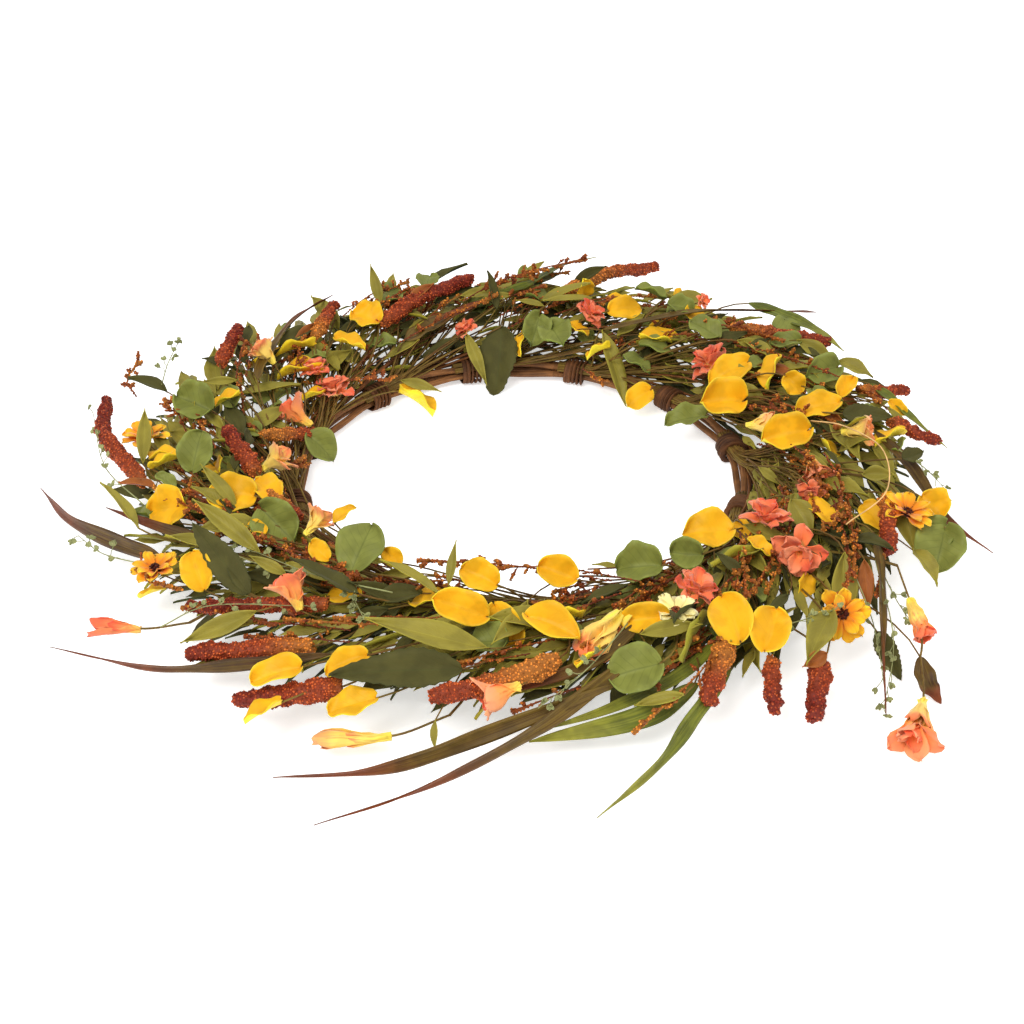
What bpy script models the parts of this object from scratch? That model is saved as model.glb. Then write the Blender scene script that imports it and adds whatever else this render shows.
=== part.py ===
"""Harvest door wreath, as a Blender model in metres with +Z up.

The wreath lies on its back: z = 0 is the plane of a door or a table, and +Z is its front.
Places on it are given as on a clock face seen from the front: the clock angle runs clockwise
in degrees from 12 o'clock, which is +Y, and the radius is measured from the middle of the ring.
Three vine hoops are bound in twelve places. Each binding also holds the stems of a few picks,
florists' stems with leaves, flowers or grain heads on them, which all sweep clockwise.
"""

import itertools
import math

import bmesh
import bpy
from mathutils import Matrix, Vector
from mathutils.bvhtree import BVHTree

MM = 0.001

# Ring of vines
RING_RADIUS = 135 * MM
RING_X = 9.9 * MM                 # middle of the ring, off the middle of the whole wreath
RING_Y = 19.9 * MM
VINE_RADIUS = 2.0 * MM
VINE_SPREAD = 1.6 * MM            # how far a vine bows away from the others between bindings
CLEARANCE = 0.3 * MM              # between pieces that touch on the real wreath

# Bindings
BINDINGS = 12
FIRST_BINDING = 16                # clock angle
BINDING_LENGTH = 14 * MM
BINDING_WALL = 1.0 * MM
BACK_TRIM = 0.5 * MM              # cut off the wall where the binding is pressed flat
TUBE_SIDES = 8                    # a multiple of 4, so that a flat side and no corner is at the back
STEM_SIDES = 5
SWEEP_SIDES = 6

# Stems
STEM_RADIUS = 0.8 * MM
BRANCH_RADIUS = 0.6 * MM
STEM_TAIL = 5 * MM                # stem that shows behind its binding
STEM_REACH = 0.4                  # how far a stem keeps its way at each end, as a share of its length
STEM_POINTS = 7
TWIG_POINTS = 4
BRANCH_SHARE = 0.62               # where along the stem the branches of the other heads leave it
SLOT_ANGLES = (8, 42, 76, 110, 144)   # places for stems in a binding, 0 outward and 90 in front

# The bed: the cushion-like surface that the leaves and flowers make
BED_INNER = 112 * MM
BED_CREST = 180 * MM
BED_OUTER = 300 * MM
BED_LOW = 5 * MM
BED_HIGH = 47 * MM

# Heads
LEAF_FLATNESS = 0.07              # a leaf's thickness as a share of its width
BLADE_FLATNESS = 0.16
TIP_RADIUS = 0.7 * MM
FLOOR_GAP = 0.6 * MM              # the lowest that a pick reaches above the back plane
LIFT_STEP = 1.5 * MM              # a pick is eased up or down by this until it lies clear
LIFT_STEPS = 40
SWINGS = (0, 3, -3, 6, -6)        # degrees a pick may also be swung sideways, tried in this order
EASE_MARGIN = 0.15 * MM           # least gap that easing leaves
EASE_REACH = 60 * MM              # length over which a stem takes up that easing
JOINT_BALL = 1.2 * MM             # rounded end of a wire that swings or bends
WIRE_RADIUS = 0.6 * MM
STAMEN_START = 0.4                # where in a blossom the next wire starts, from its mouth down
WIRE_INSET = 0.15                 # how far a wire reaches into its blossom
RANGE_PARTS = 4                   # parts of a joint's range at which room is kept for its blossom

# Meshes
VINE_STEPS = 3                    # points of a vine between two bindings
PATH_POINTS = 41
WELD = 0.02 * MM
SHARP_ANGLE = 40

# Worked out from the sizes above
VINE_OFFSET = (2 * VINE_RADIUS + CLEARANCE) / math.sqrt(3)
CORE_RADIUS = VINE_OFFSET + VINE_RADIUS
SLOT_RADIUS = CORE_RADIUS + CLEARANCE + STEM_RADIUS
BORE_RADIUS = (SLOT_RADIUS + STEM_RADIUS + CLEARANCE) / math.cos(math.pi / TUBE_SIDES)
BINDING_RADIUS = BORE_RADIUS + BINDING_WALL
RING_HEIGHT = (BINDING_RADIUS - BACK_TRIM) * math.cos(math.pi / TUBE_SIDES)
BINDING_STEP = 360 / BINDINGS
BINDING_HALF = math.degrees(BINDING_LENGTH / 2 / RING_RADIUS)

# Outlines: half width, as a share of the greatest, at shares of the length
ROUND_LEAF = ((0, 0), (0.12, 0.66), (0.36, 1.0), (0.68, 0.93), (0.9, 0.58), (1, 0))
LONG_LEAF = ((0, 0), (0.15, 0.52), (0.42, 1.0), (0.7, 0.8), (0.9, 0.34), (1, 0))
GRAIN = ((0, 0), (0.06, 0.7), (0.3, 1.0), (0.65, 0.9), (0.92, 0.55), (1, 0))
BLADE = ((0, 0), (0.2, 0.7), (0.45, 1.0), (0.75, 0.72), (0.92, 0.35), (1, 0))
TRUMPET = ((0, 0), (0.3, 0.32), (0.62, 0.6), (0.9, 1.0), (1, 0.7))

SHAPES = {
    "round_leaf": (ROUND_LEAF, LEAF_FLATNESS),
    "long_leaf": (LONG_LEAF, LEAF_FLATNESS),
    "grain": (GRAIN, 1.0),
    "blade": (BLADE, BLADE_FLATNESS),
    "blossom": (TRUMPET, 0.8),
}

COLOURS = {
    "vine": (0.20, 0.09, 0.04),
    "binding": (0.16, 0.07, 0.035),
    "amaranth": (0.30, 0.06, 0.03),
    "gold": (0.86, 0.42, 0.03),
    "green": (0.17, 0.28, 0.07),
    "sage": (0.32, 0.33, 0.09),
    "dark": (0.05, 0.09, 0.03),
    "blade": (0.16, 0.07, 0.03),
    "coral": (0.85, 0.19, 0.08),
    "daisy": (0.90, 0.45, 0.04),
}

# Picks: finish, number, binding, slot, and heads. A head is its shape, its width in mm and its
# stations from base to tip; a station is clock angle, radius in mm and height above the bed in mm.
PICKS = (
    ("blade", 1, 1, 0, (("blade", 6, (31, 154, 3), (41, 182, 2), (49, 234, 2), (49, 268, 4)),)),
    ("amaranth", 1, 1, 1, (("grain", 10, (50, 178, 2), (62, 226, 3)),)),
    ("green", 1, 1, 3, (("round_leaf", 20, (35, 142, 5), (45, 148, 9)),
                        ("round_leaf", 20, (50, 164, 5), (41, 170, 10)))),
    ("coral", 1, 1, 4, (("blossom", 26, (54, 144, 2), (51, 154, 18)),)),
    ("gold", 2, 2, 4, (("round_leaf", 28, (73, 145, 5), (63, 132, 14)),
                       ("round_leaf", 22, (63, 160, 6), (59, 142, 14)))),
    ("green", 2, 2, 2, (("round_leaf", 24, (73, 206, 5), (77, 184, 10)),
                        ("long_leaf", 12, (61, 202, 4), (71, 216, 6)))),
    ("amaranth", 2, 2, 1, (("grain", 9, (79, 212, 0), (77, 249, 2)),
                           ("grain", 9, (88, 220, 0), (91, 251, 2)))),
    ("gold", 3, 3, 3, (("round_leaf", 26, (85, 190, 5), (86, 167, 11)),
                       ("round_leaf", 26, (95, 170, 5), (94, 149, 12)))),
    ("blade", 3, 3, 0, (("blade", 7, (99, 230, -3), (107, 252, -6), (109, 281, -3)),)),
    ("coral", 4, 4, 4, (("blossom", 26, (130, 172, 2), (125, 168, 17)),
                        ("blossom", 28, (131, 198, 2), (137, 210, 8)))),
    ("daisy", 4, 4, 0, (("blossom", 26, (113, 232, 0), (111, 236, 14)),)),
    ("green", 4, 4, 1, (("round_leaf", 28, (112, 254, -3), (121, 259, -5)),)),
    ("amaranth", 4, 4, 2, (("grain", 11, (110, 219, 0), (122, 235, 0)),)),
    ("amaranth", 5, 5, 1, (("grain", 14, (153, 229, -2), (159, 254, -5)),
                           ("grain", 10, (149, 244, -3), (152, 267, -6)),
                           ("grain", 13, (143, 254, -5), (148, 275, -9)))),
    ("gold", 5, 5, 2, (("round_leaf", 26, (152, 232, 5), (148, 207, 9)),
                       ("round_leaf", 24, (149, 240, 4), (143, 223, 8)))),
    ("blade", 5, 5, 0, (("blade", 8, (160, 254, -8), (166, 274, -8), (173, 296, -4)),
                        ("blade", 11, (166, 246, -16), (179, 250, -20)))),
    ("green", 5, 5, 4, (("round_leaf", 26, (154, 163, 2), (163, 158, 8)),
                        ("round_leaf", 28, (163, 234, -3), (169, 241, -2)))),
    ("amaranth", 6, 6, 2, (("grain", 14, (175, 222, 0), (191, 251, 0)),)),
    ("blade", 6, 6, 0, (("blade", 7, (180, 258, -7), (190, 284, -7), (198, 313, -2)),
                        ("blade", 7, (184, 258, -6), (194, 277, -7), (204, 293, -4)))),
    ("sage", 6, 6, 1, (("long_leaf", 22, (187, 232, -3), (202, 246, -5)),
                       ("long_leaf", 15, (185, 214, 3), (200, 220, 3)))),
    ("gold", 6, 6, 4, (("round_leaf", 20, (180, 188, 5), (172, 202, 9)),
                       ("round_leaf", 22, (190, 176, 5), (197, 170, 9)),
                       ("round_leaf", 20, (198, 242, -6), (204, 250, -8)))),
    ("blade", 7, 7, 0, (("blade", 7, (214, 250, -5), (224, 272, -6), (237, 298, -3)),)),
    ("amaranth", 7, 7, 1, (("grain", 13, (201, 246, -4), (212, 268, -5)),
                           ("grain", 12, (207, 230, -3), (221, 260, -3)),
                           ("grain", 10, (209, 204, -2), (226, 242, -2)))),
    ("dark", 7, 7, 3, (("long_leaf", 20, (220, 216, 1), (238, 206, 3)),)),
    ("amaranth", 8, 8, 2, (("grain", 11, (254, 222, 0), (270, 248, 3), (281, 262, 5)),
                           ("grain", 12, (250, 160, 2), (265, 173, 4)))),
    ("gold", 8, 8, 3, (("round_leaf", 26, (243, 204, 3), (249, 221, 4)),
                       ("round_leaf", 24, (240, 172, 5), (243, 192, 8)))),
    ("green", 8, 8, 4, (("round_leaf", 24, (254, 190, 6), (264, 184, 12)),
                        ("round_leaf", 26, (238, 156, 6), (230, 150, 12)))),
    ("blade", 8, 8, 0, (("blade", 13, (243, 240, -5), (255, 264, -5), (266, 286, -2)),)),
    ("green", 9, 9, 3, (("round_leaf", 26, (272, 186, 3), (277, 206, 6)),
                        ("round_leaf", 20, (277, 134, 4), (284, 126, 8)))),
    ("amaranth", 9, 9, 1, (("grain", 10, (290, 200, 2), (302, 214, 7)),)),
    ("blade", 9, 9, 0, (("blade", 8, (293, 174, 3), (310, 191, 4), (322, 203, 4)),)),
    ("amaranth", 10, 10, 1, (("grain", 12, (324, 158, 2), (337, 170, 3), (350, 180, 7)),
                             ("grain", 10, (308, 168, 2), (320, 190, 4)))),
    ("coral", 10, 10, 4, (("blossom", 24, (299, 136, 4), (303, 142, 20)),)),
    ("gold", 10, 10, 2, (("round_leaf", 22, (323, 158, 4), (322, 174, 10)),
                         ("round_leaf", 14, (301, 150, 4), (292, 162, 8)))),
    ("dark", 11, 11, 4, (("long_leaf", 26, (354, 146, 4), (351, 120, 6)),)),
    ("blade", 11, 11, 1, (("blade", 12, (337, 148, 2), (354, 162, 4)),
                          ("blade", 7, (2, 178, 2), (8, 216, 2), (12, 264, 4)))),
    ("amaranth", 12, 12, 1, (("grain", 11, (9, 166, 2), (16, 214, -1), (22, 262, 3)),)),
    ("green", 12, 12, 4, (("round_leaf", 22, (12, 144, 4), (16, 132, 9)),
                          ("round_leaf", 20, (5, 152, 6), (2, 138, 12)),
                          ("long_leaf", 12, (22, 148, 3), (32, 134, 11), (40, 115, 8)))),
)

# Blossoms on wires that move. A holder is its name, binding, slot and its blossoms; a second
# blossom hangs from the first. A blossom is its name, the way its joint's axis points, its range
# in degrees, the joint's station, the stations of its base and mouth, and its width in mm.
WIRED = (
    ("pendant_stem", 4, 3, (
        ("pendant_high", "front", (-5, 12), (124, 243, 2), (127, 257, 0), (130, 271, -2), 16),
        ("pendant_low", "front", (-10, 20), (133, 281, 3), (137, 298, 7), (143, 315, 9), 23),
    )),
    ("petals_front_stem", 6, 3, (
        ("petals_front", "across", (-4, 40), (188, 246, -10), (194, 258, -13), (201, 267, -12), 12),
    )),
    ("petals_left_stem", 8, 1, (
        ("petals_left", "across", (-4, 40), (224, 246, -4), (229, 262, -5), (234, 277, -1), 14),
    )),
)


def clock_point(clock, radius, height):
    """The point at a clock angle in degrees, a radius and a height."""
    angle = math.radians(clock)
    return Vector((RING_X + radius * math.sin(angle), RING_Y + radius * math.cos(angle), height))


def bed_height(radius):
    """Height of the bed of foliage: a rounded crest that falls to both edges."""
    side = BED_CREST - BED_INNER if radius < BED_CREST else BED_OUTER - BED_CREST
    share = (radius - BED_CREST) / side
    return BED_LOW + (BED_HIGH - BED_LOW) * max(0.0, 1 - share * share)


def station_point(clock, radius_mm, lift_mm):
    """The point of a planting station, given by clock angle, radius and height above the bed."""
    radius = radius_mm * MM
    return clock_point(clock, radius, max(bed_height(radius) + lift_mm * MM, 2 * FLOOR_GAP))


def binding_clock(number):
    """Clock angle of the middle of a binding, the first of which is number 1."""
    return FIRST_BINDING + (number - 1) * BINDING_STEP


def spaced(points, count):
    """That many points evenly spaced in parameter along a smooth curve through the given ones."""
    last = len(points) - 1
    out = []
    for step in range(count):
        place = step * last / (count - 1)
        i = min(int(place), last - 1)
        t = place - i
        before = points[i - 1] if i > 0 else 2 * points[0] - points[1]
        after = points[i + 2] if i + 2 <= last else 2 * points[last] - points[last - 1]
        a, b = points[i], points[i + 1]
        out.append(0.5 * (2 * a + (b - before) * t + (2 * before - 5 * a + 4 * b - after) * t * t
                          + (3 * a - before - 3 * b + after) * t * t * t))
    return out


def along(points, share):
    """The point at a share of the length of a path."""
    lengths = [(b - a).length for a, b in zip(points, points[1:])]
    left = share * sum(lengths)
    for a, b, length in zip(points, points[1:], lengths):
        if left <= length:
            return a.lerp(b, left / length)
        left -= length
    return points[-1].copy()


def bent(start, start_way, end, end_way, count):
    """Points of a stem that leaves start along one direction and reaches end along another."""
    reach = (end - start).length * STEM_REACH
    a, b = start + start_way.normalized() * reach, end - end_way.normalized() * reach
    out = []
    for step in range(count):
        t = step / (count - 1)
        out.append(start * (1 - t) ** 3 + a * 3 * t * (1 - t) ** 2
                   + b * 3 * t * t * (1 - t) + end * t ** 3)
    return out


def collection_named(name):
    """A new collection in the scene."""
    made = bpy.data.collections.new(name)
    bpy.context.scene.collection.children.link(made)
    return made


def finish_material(finish):
    """The material of a finish, made once."""
    made = bpy.data.materials.get(finish)
    if made is None:
        made = bpy.data.materials.new(finish)
        made.use_nodes = True
        shader = made.node_tree.nodes["Principled BSDF"]
        shader.inputs["Base Color"].default_value = (*COLOURS[finish], 1)
        shader.inputs["Roughness"].default_value = 0.7
        shader.inputs["Metallic"].default_value = 0.0
    return made


def section_curve(flatness, sides, shop):
    """The section that is swept along a path: a circle of radius 1, or an ellipse."""
    name = f"section_{sides}_{flatness:.2f}"
    if name in bpy.data.objects:
        return bpy.data.objects[name]
    curve = bpy.data.curves.new(name, "CURVE")
    curve.dimensions = "2D"
    curve.fill_mode = "NONE"
    spline = curve.splines.new("POLY")
    spline.points.add(sides - 1)
    spline.use_cyclic_u = True
    for i, point in enumerate(spline.points):
        angle = 2 * math.pi * (i + 0.5) / sides
        point.co = (math.cos(angle), flatness * math.sin(angle), 0, 1)
    made = bpy.data.objects.new(name, curve)
    made.hide_render = True
    made.display_type = "WIRE"
    shop.objects.link(made)
    return made


def mesh_object(curve_object, home):
    """A mesh object of a curve's evaluated shape with its caps welded; the curve is removed."""
    bpy.context.view_layer.update()
    source = curve_object.evaluated_get(bpy.context.evaluated_depsgraph_get())
    mesh = bpy.data.meshes.new_from_object(source)
    name, place = curve_object.name, curve_object.matrix_world.copy()
    bpy.data.objects.remove(curve_object)
    made = bpy.data.objects.new(name, mesh)
    made.matrix_world = place
    home.objects.link(made)
    shape = bmesh.new()
    shape.from_mesh(mesh)
    bmesh.ops.remove_doubles(shape, verts=shape.verts, dist=WELD)
    bmesh.ops.recalc_face_normals(shape, faces=shape.faces)
    shape.to_mesh(mesh)
    shape.free()
    return made


def sweep(name, points, radii, home, shop, flatness=1.0, sides=SWEEP_SIDES, closed=False):
    """A closed body whose section follows a path; radii has the section's size at each point."""
    curve = bpy.data.curves.new(name, "CURVE")
    curve.dimensions = "3D"
    curve.twist_mode = "Z_UP"
    curve.bevel_mode = "OBJECT"
    curve.bevel_object = section_curve(flatness, sides, shop)
    curve.use_fill_caps = not closed
    spline = curve.splines.new("POLY")
    spline.points.add(len(points) - 1)
    spline.use_cyclic_u = closed
    for point, place, radius in zip(spline.points, points, radii):
        point.co = (*place, 1)
        point.radius = radius
    made = bpy.data.objects.new(name, curve)
    home.objects.link(made)
    return mesh_object(made, home)


def combine(base, others, operation):
    """Join the other meshes to the base, or cut them from it, and remove them."""
    for other in others:
        cut = base.modifiers.new(operation.lower(), "BOOLEAN")
        cut.operation = operation
        cut.solver = "EXACT"
        cut.object = other
        bpy.context.view_layer.update()
        source = base.evaluated_get(bpy.context.evaluated_depsgraph_get())
        mesh = bpy.data.meshes.new_from_object(source)
        base.modifiers.remove(cut)
        base.data = mesh
        bpy.data.objects.remove(other)


def head_bodies(name, shape, width, stations, stem, branch_at, home, shop):
    """A head and, unless it ends the stem, the branch that carries it."""
    outline, flatness = SHAPES[shape]
    path = [station_point(*station) for station in stations]
    way = path[1] - path[0]
    bodies = []
    if branch_at is not None:
        start = along(stem, branch_at)
        ahead = along(stem, min(branch_at + 0.1, 1.0)) - start
        twig = bent(start, ahead, path[0] + way.normalized() * 3 * TIP_RADIUS, way, TWIG_POINTS)
        bodies.append(sweep(name + "_branch", twig, [BRANCH_RADIUS] * TWIG_POINTS, home, shop,
                            sides=STEM_SIDES))
    spread = spaced(path, PATH_POINTS)
    points = [along(spread, share) for share, _ in outline]
    radii = [max(part * width / 2 * MM, TIP_RADIUS) for _, part in outline]
    bodies.append(sweep(name + "_head", points, radii, home, shop, flatness))
    return bodies


def slot_path(binding, slot):
    """The stretch of a stem that lies in its binding, along the ring."""
    middle = binding_clock(binding)
    angle = math.radians(SLOT_ANGLES[slot])
    radius = RING_RADIUS + SLOT_RADIUS * math.cos(angle)
    height = RING_HEIGHT + SLOT_RADIUS * math.sin(angle)
    tail = BINDING_HALF + math.degrees(STEM_TAIL / RING_RADIUS)
    return [clock_point(middle + turn, radius, height) for turn in (-tail, 0, BINDING_HALF)]


def stem_path(binding, slot, end, end_way):
    """The whole path of a stem, from its tail through the binding to the end point."""
    held = slot_path(binding, slot)
    free = bent(held[-1], held[-1] - held[-2], end, end_way, STEM_POINTS)
    return held + free[1:]


def make_vines(home, shop):
    """Three closed hoops that touch in the bindings and bow apart between them."""
    for number, name in enumerate(("vine_top", "vine_inner", "vine_outer")):
        angle = math.radians(90 + 120 * number)
        points = []
        for binding in range(1, BINDINGS + 1):
            middle = binding_clock(binding)
            free = BINDING_STEP - 2 * BINDING_HALF
            turns = [-BINDING_HALF]
            turns += [BINDING_HALF + free * step / VINE_STEPS for step in range(VINE_STEPS)]
            for turn in turns:
                share = max(0.0, (turn - BINDING_HALF) / free)
                offset = VINE_OFFSET + VINE_SPREAD * math.sin(math.pi * share) ** 2
                radius = RING_RADIUS + offset * math.cos(angle)
                height = RING_HEIGHT + offset * math.sin(angle)
                points.append(clock_point(middle + turn, radius, height))
        dress(sweep(name, points, [VINE_RADIUS] * len(points), home, shop, closed=True), "vine")


def make_binding(number, home, shop):
    """A wrap round the vines and stems, pressed flat at the back."""
    middle = binding_clock(number)

    def tube(name, radius, half):
        points = [clock_point(middle + turn, RING_RADIUS, RING_HEIGHT) for turn in (-half, 0, half)]
        return sweep(name, points, [radius] * 3, home, shop, sides=TUBE_SIDES)

    wrap = tube(f"binding_{number:02d}", BINDING_RADIUS, BINDING_HALF)
    bore = tube("bore", BORE_RADIUS, BINDING_HALF * 1.2)
    combine(wrap, [bore], "DIFFERENCE")
    bpy.ops.mesh.primitive_cube_add(size=1)
    plane = bpy.context.active_object
    plane.scale = (4 * BINDING_LENGTH, 4 * BINDING_LENGTH, BINDING_RADIUS)
    plane.location = clock_point(middle, RING_RADIUS, -BINDING_RADIUS / 2)
    combine(wrap, [plane], "DIFFERENCE")
    dress(wrap, "binding")
    return wrap


def dress(made, finish):
    """Give a piece its material and smooth shading."""
    made.data.materials.clear()
    made.data.materials.append(finish_material(finish))
    made.data.shade_smooth()
    made.data.set_sharp_from_angle(angle=math.radians(SHARP_ANGLE))


def tree_of(mesh, matrix=None):
    """A search tree of a mesh's faces, moved by a matrix."""
    points = [matrix @ v.co if matrix else v.co.copy() for v in mesh.vertices]
    return BVHTree.FromPolygons(points, [tuple(face.vertices) for face in mesh.polygons])


def easing_shares(points, held):
    """How much of an easing each point takes: none at the held stretch, all of it further out."""
    start, run = held[0], held[-1] - held[0]
    shares = []
    for point in points:
        place = max(0.0, min(1.0, (point - start).dot(run) / run.length_squared))
        share = min((point - start - run * place).length / EASE_REACH, 1.0)
        shares.append(share * share * (3 - 2 * share))
    return shares


def eased(points, shares, pivot, swing, lift):
    """The points swung sideways about a pivot by an angle in degrees and lifted, by their shares."""
    out = []
    for point, share in zip(points, shares):
        turned = Matrix.Rotation(math.radians(swing * share), 3, "Z") @ (point - pivot)
        out.append(pivot + turned + Vector((0, 0, lift * share)))
    return out


def slot_rooms(home, shop):
    """The room that each stem takes in and behind its binding, by binding and slot."""
    rooms = {}
    for entry in (*((pick[2], pick[3]) for pick in PICKS), *((wired[1], wired[2]) for wired in WIRED)):
        tube = sweep("room", slot_path(*entry), [STEM_RADIUS] * 3, home, shop, sides=STEM_SIDES)
        rooms[entry] = tree_of(tube.data)
        bpy.data.objects.remove(tube)
    return rooms


def ease_clear(made, held, placed, rooms):
    """Ease a pick up, down or sideways, from its binding outward, until it lies clear of the rest."""
    mesh = made.data
    faces = [tuple(face.vertices) for face in mesh.polygons]
    margins = [v.normal * EASE_MARGIN for v in mesh.vertices]
    rest = [v.co.copy() for v in mesh.vertices]
    shares = easing_shares(rest, held)
    lifts = [step // 2 * LIFT_STEP * (1 if step % 2 else -1) for step in range(1, 2 * LIFT_STEPS)]
    for swing, lift in itertools.product(SWINGS, lifts):
        points = eased(rest, shares, held[-1], swing, lift)
        if min(p.z for p in points) < FLOOR_GAP:
            continue
        tree = BVHTree.FromPolygons([p + m for p, m in zip(points, margins)], faces)
        if not any(tree.overlap(other) for other in (*placed, *rooms)):
            for vertex, point in zip(mesh.vertices, points):
                vertex.co = point
            break
    placed.append(tree_of(mesh))


def make_pick(finish, number, binding, slot, heads, home, shop):
    """A pick as one body: its stem, its branches and its heads."""
    name = f"{finish}_pick_{number:02d}"
    first = [station_point(*station) for station in heads[0][2:]]
    way = first[1] - first[0]
    stem = stem_path(binding, slot, first[0] + way.normalized() * 3 * TIP_RADIUS, way)
    made = sweep(name, stem, [STEM_RADIUS] * len(stem), home, shop, sides=STEM_SIDES)
    bodies = []
    for index, (shape, width, *stations) in enumerate(heads):
        branch_at = BRANCH_SHARE if index else None
        bodies += head_bodies(f"{name}_{index}", shape, width, stations, stem, branch_at, home, shop)
    combine(made, bodies, "UNION")
    dress(made, finish)
    return made


def make_blossom(title, pivot, base, mouth, width, home, shop):
    """A blossom on its wire, which starts at the joint with a rounded end."""
    wire = bent(pivot, base - pivot, base.lerp(mouth, WIRE_INSET), mouth - base, TWIG_POINTS)
    body = sweep(title, wire, [WIRE_RADIUS] * TWIG_POINTS, home, shop)
    bpy.ops.mesh.primitive_uv_sphere_add(segments=8, ring_count=6, radius=JOINT_BALL, location=pivot)
    ball = bpy.context.active_object
    ball.data.transform(ball.matrix_world)
    ball.matrix_world = Matrix()
    outline, flatness = SHAPES["blossom"]
    radii = [max(part * width / 2 * MM, TIP_RADIUS) for _, part in outline]
    points = [base.lerp(mouth, share) for share, _ in outline]
    bloom = sweep(title + "_bloom", points, radii, home, shop, flatness)
    combine(body, [ball, bloom], "UNION")
    return body


def joint_axis(kind, way):
    """The line a blossom turns about: straight to the front, or across its wire and level."""
    return Vector((0, 0, 1)) if kind == "front" else Vector((way.y, -way.x, 0)).normalized()


def keep_room(moving, placed):
    """Note the room that a chain of blossoms needs over all of its joints' ranges."""
    reaches = [[low + (high - low) * part / RANGE_PARTS for part in range(RANGE_PARTS + 1)]
               for _, _, _, (low, high) in moving]
    for angles in itertools.product(*reaches):
        turn = Matrix()
        for (body, pivot, axis, _), angle in zip(moving, angles):
            spin = Matrix.Rotation(math.radians(angle), 4, axis)
            turn = turn @ Matrix.Translation(pivot) @ spin @ Matrix.Translation(-pivot)
            placed.append(tree_of(body.data, turn))


def make_wired(name, binding, slot, blossoms, home, shop, placed):
    """Blossoms on wires that move, and the fixed stem that holds the first of them."""
    moving = []
    for title, kind, reach, joint, base, mouth, width in blossoms:
        pivot, base, mouth = (station_point(*station) for station in (joint, base, mouth))
        way = (base - pivot).normalized()
        end = pivot - way * (JOINT_BALL + CLEARANCE)
        if moving:
            stamen = bent(inside, outward, end, way, TWIG_POINTS)
            wire = sweep(name + "_stamen", stamen, [WIRE_RADIUS] * TWIG_POINTS, home, shop)
            combine(moving[-1][0], [wire], "UNION")
        else:
            stem = stem_path(binding, slot, end, way)
            holder = sweep(name, stem, [STEM_RADIUS] * len(stem), home, shop, sides=STEM_SIDES)
            dress(holder, "sage")
            placed.append(tree_of(holder.data))
        body = make_blossom(title, pivot, base, mouth, width, home, shop)
        moving.append((body, pivot, joint_axis(kind, way), reach))
        inside, outward = mouth.lerp(base, STAMEN_START), mouth - base

    keep_room(moving, placed)
    for body, pivot, _, _ in moving:
        body.data.transform(Matrix.Translation(-pivot))
        body.location = pivot
        dress(body, "coral")


def main():
    """Clear the scene and build the wreath."""
    for old in list(bpy.data.objects):
        bpy.data.objects.remove(old)
    home = collection_named("harvest_door_wreath")
    shop = collection_named("cutters")
    layers = bpy.context.view_layer
    layers.active_layer_collection = layers.layer_collection.children[home.name]

    make_vines(home, shop)
    for number in range(1, BINDINGS + 1):
        make_binding(number, home, shop)
    placed = [tree_of(made.data) for made in home.objects]
    rooms = slot_rooms(home, shop)
    for entry in WIRED:
        make_wired(*entry, home, shop, placed)
    for finish, number, binding, slot, heads in PICKS:
        made = make_pick(finish, number, binding, slot, heads, home, shop)
        others = [room for entry, room in rooms.items() if entry != (binding, slot)]
        ease_clear(made, slot_path(binding, slot), placed, others)


main()
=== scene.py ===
"""The looks of the harvest door wreath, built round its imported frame, in metres with +Z up.

The wreath lies on its back. Places on it are given as on a clock face seen from the front: a clock
angle in degrees, clockwise from 12 o'clock, which is +Y, and a radius in mm from the middle of the
ring. The foliage makes a cushion-like bed over the ring, and most heads are planted on that bed.
A head's heading is 0 degrees along the ring, clockwise, and 90 degrees straight outward.
"""

import logging
import math
from dataclasses import dataclass
from enum import Enum

import bpy
import numpy as np
from mathutils import Matrix, Vector


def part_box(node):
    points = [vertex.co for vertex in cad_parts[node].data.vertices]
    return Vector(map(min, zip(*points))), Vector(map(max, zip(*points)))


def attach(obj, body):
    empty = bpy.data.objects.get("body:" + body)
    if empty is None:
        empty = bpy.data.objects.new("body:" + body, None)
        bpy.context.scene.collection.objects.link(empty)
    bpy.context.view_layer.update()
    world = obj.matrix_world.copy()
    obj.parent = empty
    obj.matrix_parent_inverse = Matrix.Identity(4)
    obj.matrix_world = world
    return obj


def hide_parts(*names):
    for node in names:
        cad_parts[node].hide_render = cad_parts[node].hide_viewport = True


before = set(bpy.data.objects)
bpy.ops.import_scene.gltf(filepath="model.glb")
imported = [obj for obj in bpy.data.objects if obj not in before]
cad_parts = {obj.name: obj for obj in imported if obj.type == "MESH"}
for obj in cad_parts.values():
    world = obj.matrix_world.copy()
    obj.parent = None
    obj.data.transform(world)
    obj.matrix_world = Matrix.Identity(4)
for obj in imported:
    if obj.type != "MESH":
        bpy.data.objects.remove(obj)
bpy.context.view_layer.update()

MM = 0.001
LOG = logging.getLogger("wreath")
Colour = tuple[int, int, int]
Station = tuple[float, float, float]       # clock angle, radius in mm and lift above the bed in mm
Stations = tuple[Station, ...]
Socket = bpy.types.NodeSocket
Materials = dict[str, bpy.types.Material]


# ---------------------------------------------------------------- places on the wreath


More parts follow.
